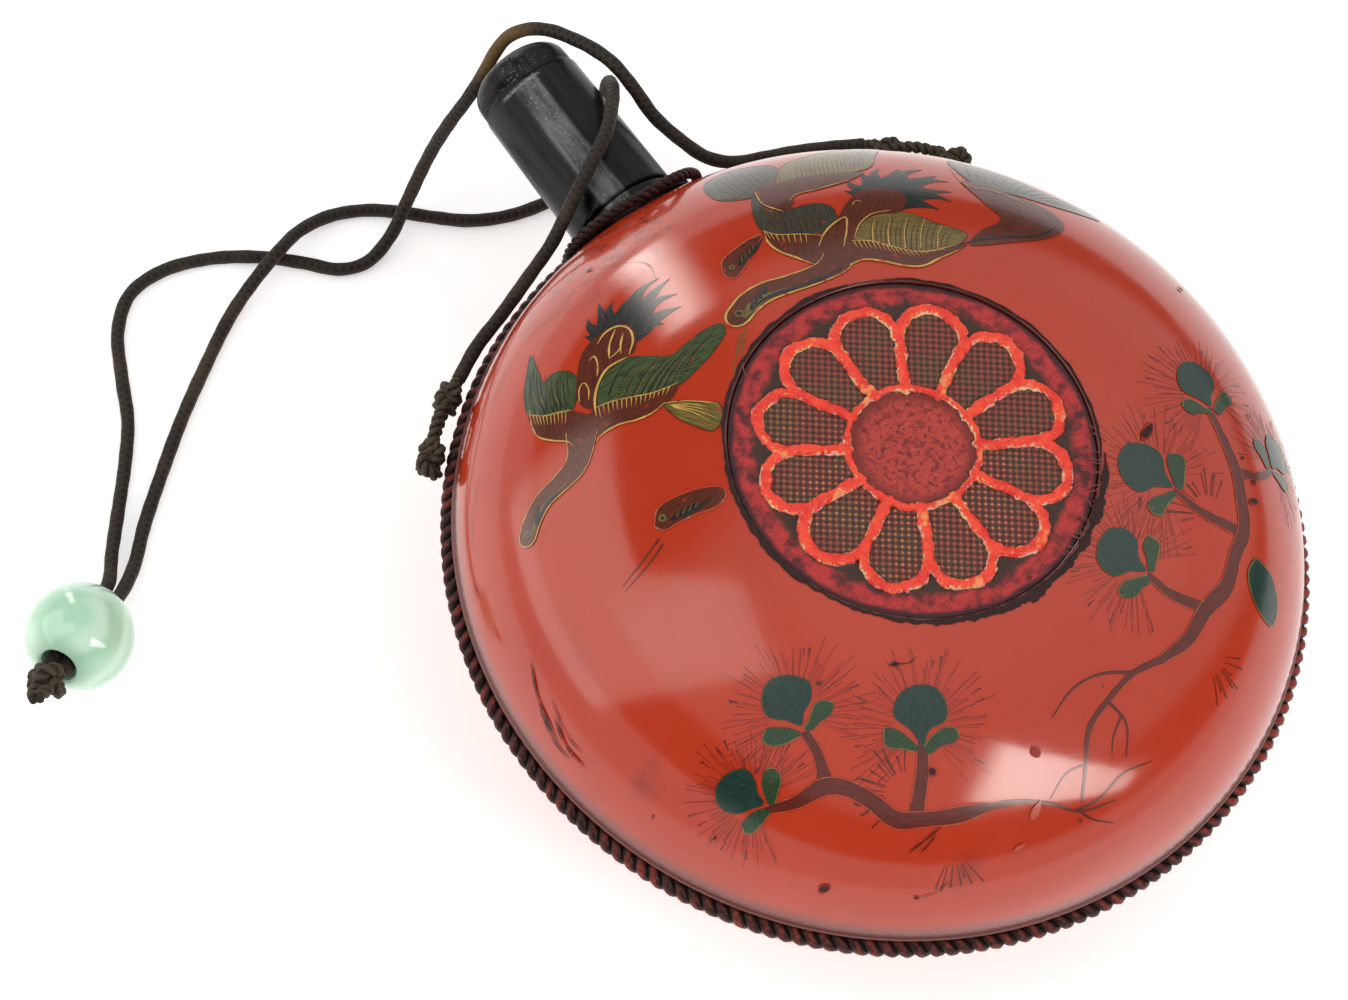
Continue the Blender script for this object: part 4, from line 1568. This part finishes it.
def makeLugs(tree, material):
    values = strandValues(lug, material)
    up, rise, (first, last) = Vector((0, 0, 1)), lug["rise"], lug["angles"]
    for name, side in (("left", -1), ("right", 1)):
        made = []
        for degrees, size in zip(lug["angles"], lug["knots"]):
            centre, along, outwards = rimPlace(side, degrees, lug["stand"], rise)
            path = knotPath(centre, size, (along, up, outwards))
            made.append(runTree("lugKnot", pathCurve("lugKnot", path, cyclic=True), tree, values))
        for spread in (lug["spread"], -lug["spread"]):
            line = []
            for share in np.linspace(-0.05, 1.05, 9):
                bulge = math.sin(math.pi * min(max(share, 0), 1))
                aside = spread * (0.35 + 0.65 * bulge)
                line.append(rimPlace(side, first + (last - first) * share, lug["stand"] + rise * bulge, aside)[0])
            made.append(runTree("lugStrand", pathCurve("lugStrand", line), tree, values))
        root = Vector(cord[name][0]) * mm
        knotPlace = rimPlace(side, first, lug["stand"], rise)[0]
        toKnot = knotPlace - root
        line = [root - toKnot * 0.25, root, root + toKnot * 0.5 + up * 2 * rise, knotPlace]
        made.append(runTree("lugNeck", pathCurve("lugNeck", line), tree, values))
        declare(joinPieces(f"lug_{name}_knots", made), "dark_cord", f"lug_{name}")


def knotFinish():
    material, tree, shader = startMaterial("worn knotted cord")
    where = objectPlace(tree)
    fibre = noiseAt(tree, where, 2600, 4, 0.65)
    worn = between(tree, plus(tree, attribute(tree, "crest"), times(tree, fibre, 1.4)), 1.0, 1.7)
    dark = mixColour(tree, fibre, (0.008, 0.006, 0.0045), (0.032, 0.023, 0.015))
    colour = layered(tree, dark, (worn, 0.6, (0.095, 0.070, 0.038)))
    setShader(tree, shader, colour, 0.68, fibre, 0.6, 0.00015, Specular_IOR_Level=0.3, Sheen_Weight=0.06)
    return material


def makeEndKnot(tree, material):
    # The knot that holds the bead, with two short frayed ends
    values = strandValues(endKnot, material)
    up = beadAxis.cross(beadAcross).normalized()
    centre = beadCentre + beadAxis * (beadRadius + endKnot["behind"])
    path = knotPath(centre, endKnot["size"], (beadAcross, up, beadAxis))
    made = [runTree("endKnot", pathCurve("endKnot", path, cyclic=True), tree, values)]
    for shift in endKnot["ends"]:
        root = centre + beadAcross * shift
        end = root + beadAxis * endKnot["endLength"] + (up - beadAcross) * shift * 0.5
        made.append(runTree("cordEnd", pathCurve("cordEnd", [root, (root + end) / 2, end]), tree, values))
    piece = joinPieces("end_knot_cord", made)
    declare(piece, "dark_cord", "end_knot")
    return piece


bead = {"radius": beadRadius, "hole": 0.0027, "soft": 0.0006, "segments": 96}


def beadFinish():
    material, tree, shader = startMaterial("green glazed bead")
    moved = vectorCalc(tree, "SUBTRACT", objectPlace(tree), tuple(beadCentre))
    warp = addNode(tree, "ShaderNodeTexNoise", {"Vector": moved, "Scale": 90.0, "Detail": 1.5}).outputs["Color"]
    swirled = vectorCalc(tree, "ADD", moved, scaled(tree, warp, 0.010))
    laid = stretched(tree, swirled, (0.5, 0.7, 2.4), (0.35, -0.5, 0.2))
    wave = {"Vector": laid, "Scale": 52.0, "Distortion": 1.2, "Detail": 2.0, "Detail Scale": 1.0}
    bands = addNode(tree, "ShaderNodeTexWave", wave).outputs["Fac"]
    green = between(tree, noiseAt(tree, swirled, 170, 2), 0.60, 0.75)
    fromHole = vectorCalc(tree, "DISTANCE", moved, tuple(beadAxis * beadRadius))
    dark = calc(tree, "MAXIMUM", times(tree, green, 0.35), below(tree, fromHole, 0.0030, 0.0062, 0.55))
    colour = layered(
        tree, mixColour(tree, between(tree, bands, 0.25, 0.9), (0.45, 0.73, 0.55), (0.55, 0.83, 0.65)),
        (between(tree, bands, 0.80, 1.0), 0.4, (0.70, 0.88, 0.76)),
        (dark, 1.0, (0.22, 0.40, 0.26)),
    )
    glaze = {"Subsurface_Weight": 0.15, "Subsurface_Scale": 0.002, "Coat_Weight": 0.5, "Coat_Roughness": 0.05}
    setShader(tree, shader, colour, 0.14, **glaze, Subsurface_Radius=(0.8, 1.0, 0.9))
    return material


def makeBead(material):
    # A glazed ball with a hole that widens softly at both ends
    radius, hole, soft = bead["radius"], bead["hole"], bead["soft"]
    edge = math.degrees(math.asin((hole + soft) / radius))
    outer = [(radius * math.sin(a), radius * math.cos(a)) for a in np.radians(np.linspace(edge, 180 - edge, 60))]
    level = math.sqrt(radius**2 - (hole + soft) ** 2) - soft * 0.95
    lower = roundCorner((hole + soft, -level), soft, -100, -180, 5)
    upper = [(r, -h) for r, h in reversed(lower)]
    points, faces = revolve(outer + lower + upper, bead["segments"], closed=True)
    turn = Matrix.Translation(beadCentre) @ beadAxis.to_track_quat("Z", "Y").to_matrix().to_4x4()
    points = np.array([turn @ Vector(p) for p in points])
    piece = makePiece("glazed_bead", list(points), faces, [material])
    declare(piece, "green_bead", "bead")
    return piece


# Studio: a pale table, a pale room and soft boxes
studio = {
    "tableColours": ((0.88, 0.88, 0.88), (0.92, 0.92, 0.92)),
    "tableGlow": 0.46,
    "tableSize": 3.0,
    "room": 0.1,
    "paleWall": 0.82,
    "background": 1.0,
    "ceiling": 0.62,
    "darkCorner": (-0.21, 0.735, 0.643),
    "wallTop": (0.21, 0.06, 0.22),  # height of the wall, and its fall to the right: straight and cubed
    "ceilingFoot": (0.48, 0.05, 0.45),
    "boxColour": (1.0, 0.965, 0.90),
    # azimuth and elevation seen from the flask, width, height, turn, power, fade on two sides, cut
    # (a cut with a falling second number slants; any other leaves a notch above the first, up to the second)
    "boxes": (
        ("leftBox", 138, 42, 1.04, 1.24, 16, 6.5, 0.12, 0.03, (0.66, 0.60)),
        ("windowBox", -74, 37, 0.72, 0.37, -49, 7.2, 0.15, 0.05, (0.98, -0.75)),
        ("overheadBox", -10, 66, 1.2, 1.2, 0, 1.2, 0.5, 0.5, None),
        ("neckWindow", 79, 20, 0.22, 0.60, 0, 3.0, 0.5, 0.5, None),
    ),
}


def fadeBox(data, first, last, cut):
    # Dims a soft box towards its first and last side, and cuts a corner off it
    data.use_nodes = True
    tree = data.node_tree
    u, v = list(split(tree, addNode(tree, "ShaderNodeNewGeometry").outputs["Parametric"]))[:2]
    strength = times(tree, between(tree, u, 0.0, max(first, 0.01)), below(tree, u, 1.0 - max(last, 0.01), 1.0))
    if cut and cut[1] < 0:
        edge = minus(tree, v, times(tree, u, cut[1]))
        dim = between(tree, u, 0.2, 1.0, (1.0, 0.7))
        strength = times(tree, strength, below(tree, edge, cut[0] - 0.03, cut[0]), dim)
    elif cut:
        right = between(tree, minus(tree, u, times(tree, v, 0.15)), cut[1] - 0.15, cut[1] - 0.12)
        strength = times(tree, strength, calc(tree, "MAXIMUM", below(tree, v, cut[0] - 0.03, cut[0]), right))
    tree.links.new(strength, tree.nodes["Emission"].inputs["Strength"])


def makeRoom():
    # A pale wall runs round the table, low on the right and higher on the left, with a dim gap above it and then a
    # pale ceiling; one corner behind the flask is dark
    world = bpy.data.worlds.new("room")
    bpy.context.scene.world = world
    world.use_nodes = True
    tree = world.node_tree
    where = addNode(tree, "ShaderNodeTexCoord").outputs["Generated"]
    aim = split(tree, where)
    cube = times(tree, aim[0], aim[0], aim[0])

    def above(level):
        start, fall, cubed = level
        edge = minus(tree, minus(tree, start, times(tree, aim[0], fall)), times(tree, cube, cubed))
        return minus(tree, aim[2], edge)

    wall = between(tree, above(studio["wallTop"]), -0.02, 0.02, (studio["paleWall"], studio["room"]))
    ceiling = between(tree, above(studio["ceilingFoot"]), 0.0, 0.14, (0.0, studio["ceiling"]))
    corner = below(tree, vectorCalc(tree, "DOT_PRODUCT", where, studio["darkCorner"]), 0.84, 0.93)
    seen = addNode(tree, "ShaderNodeLightPath").outputs["Is Camera Ray"]
    strength = calc(tree, "MAXIMUM", wall, times(tree, ceiling, corner))
    strength = calc(tree, "MAXIMUM", strength, times(tree, seen, studio["background"]))
    shader = tree.nodes["Background"]
    shader.inputs["Color"].default_value = (1, 1, 1, 1)
    tree.links.new(strength, shader.inputs["Strength"])


def makeBoxes():
    for name, azimuth, elevation, width, height, turn, power, first, last, cut in studio["boxes"]:
        data = bpy.data.lights.new(name, "AREA")
        data.shape, data.size, data.size_y = "RECTANGLE", width, height
        data.energy, data.color = power, studio["boxColour"]
        a, e = math.radians(azimuth), math.radians(elevation)
        away = Vector((math.cos(a) * math.cos(e), math.sin(a) * math.cos(e), math.sin(e)))
        aimed = (-away).to_track_quat("-Z", "Y").to_matrix() @ Matrix.Rotation(math.radians(turn), 3, "Z")
        place = Matrix.Translation(away + Vector((0, 0, seamHeight)))
        makeObject(name, data).matrix_world = place @ aimed.to_4x4()
        fadeBox(data, first, last, cut)


def makeTable():
    half = studio["tableSize"] / 2
    material, tree, shader = startMaterial("pale table")
    colour = mixColour(tree, noiseAt(tree, objectPlace(tree), 3, 2), *studio["tableColours"])
    setShader(tree, shader, colour, 0.35, Emission_Color=(1, 1, 1, 1), Emission_Strength=studio["tableGlow"])
    corners = [(-half, -half, 0), (half, -half, 0), (half, half, 0), (-half, half, 0)]
    makePiece("table", corners, [[0, 1, 2, 3]], [material])


makeCamera()
cordMaterial = cordFinish()
tubes = makeCords(cordMaterial)
print("camera and cords")
twisted = ropeTree()
makeRimRope(twisted, ropeFinish("worn rope lacquer", -0.22))
makeCollarRope(twisted, ropeFinish("dark rope lacquer", -0.55))
print("rope mouldings")
makeBody(redLacquer())
makePainting()
print("body and painting")
makePanels()
print("flower panels")
black = blackLacquer()
makeSpout(black)
makeCap(black)
print("spout and cap")
knotMaterial = knotFinish()
makeLugs(twisted, knotMaterial)
knotPiece = makeEndKnot(twisted, knotMaterial)
glazedBead = makeBead(beadFinish())
for piece, path, length, exitPlace, node in tubes:
    declare(piece, "dark_cord", node)
print("knots, bead and cord facts")
makeRoom()
makeBoxes()
makeTable()
bpy.context.scene.view_settings.view_transform = "Standard"
print("studio")
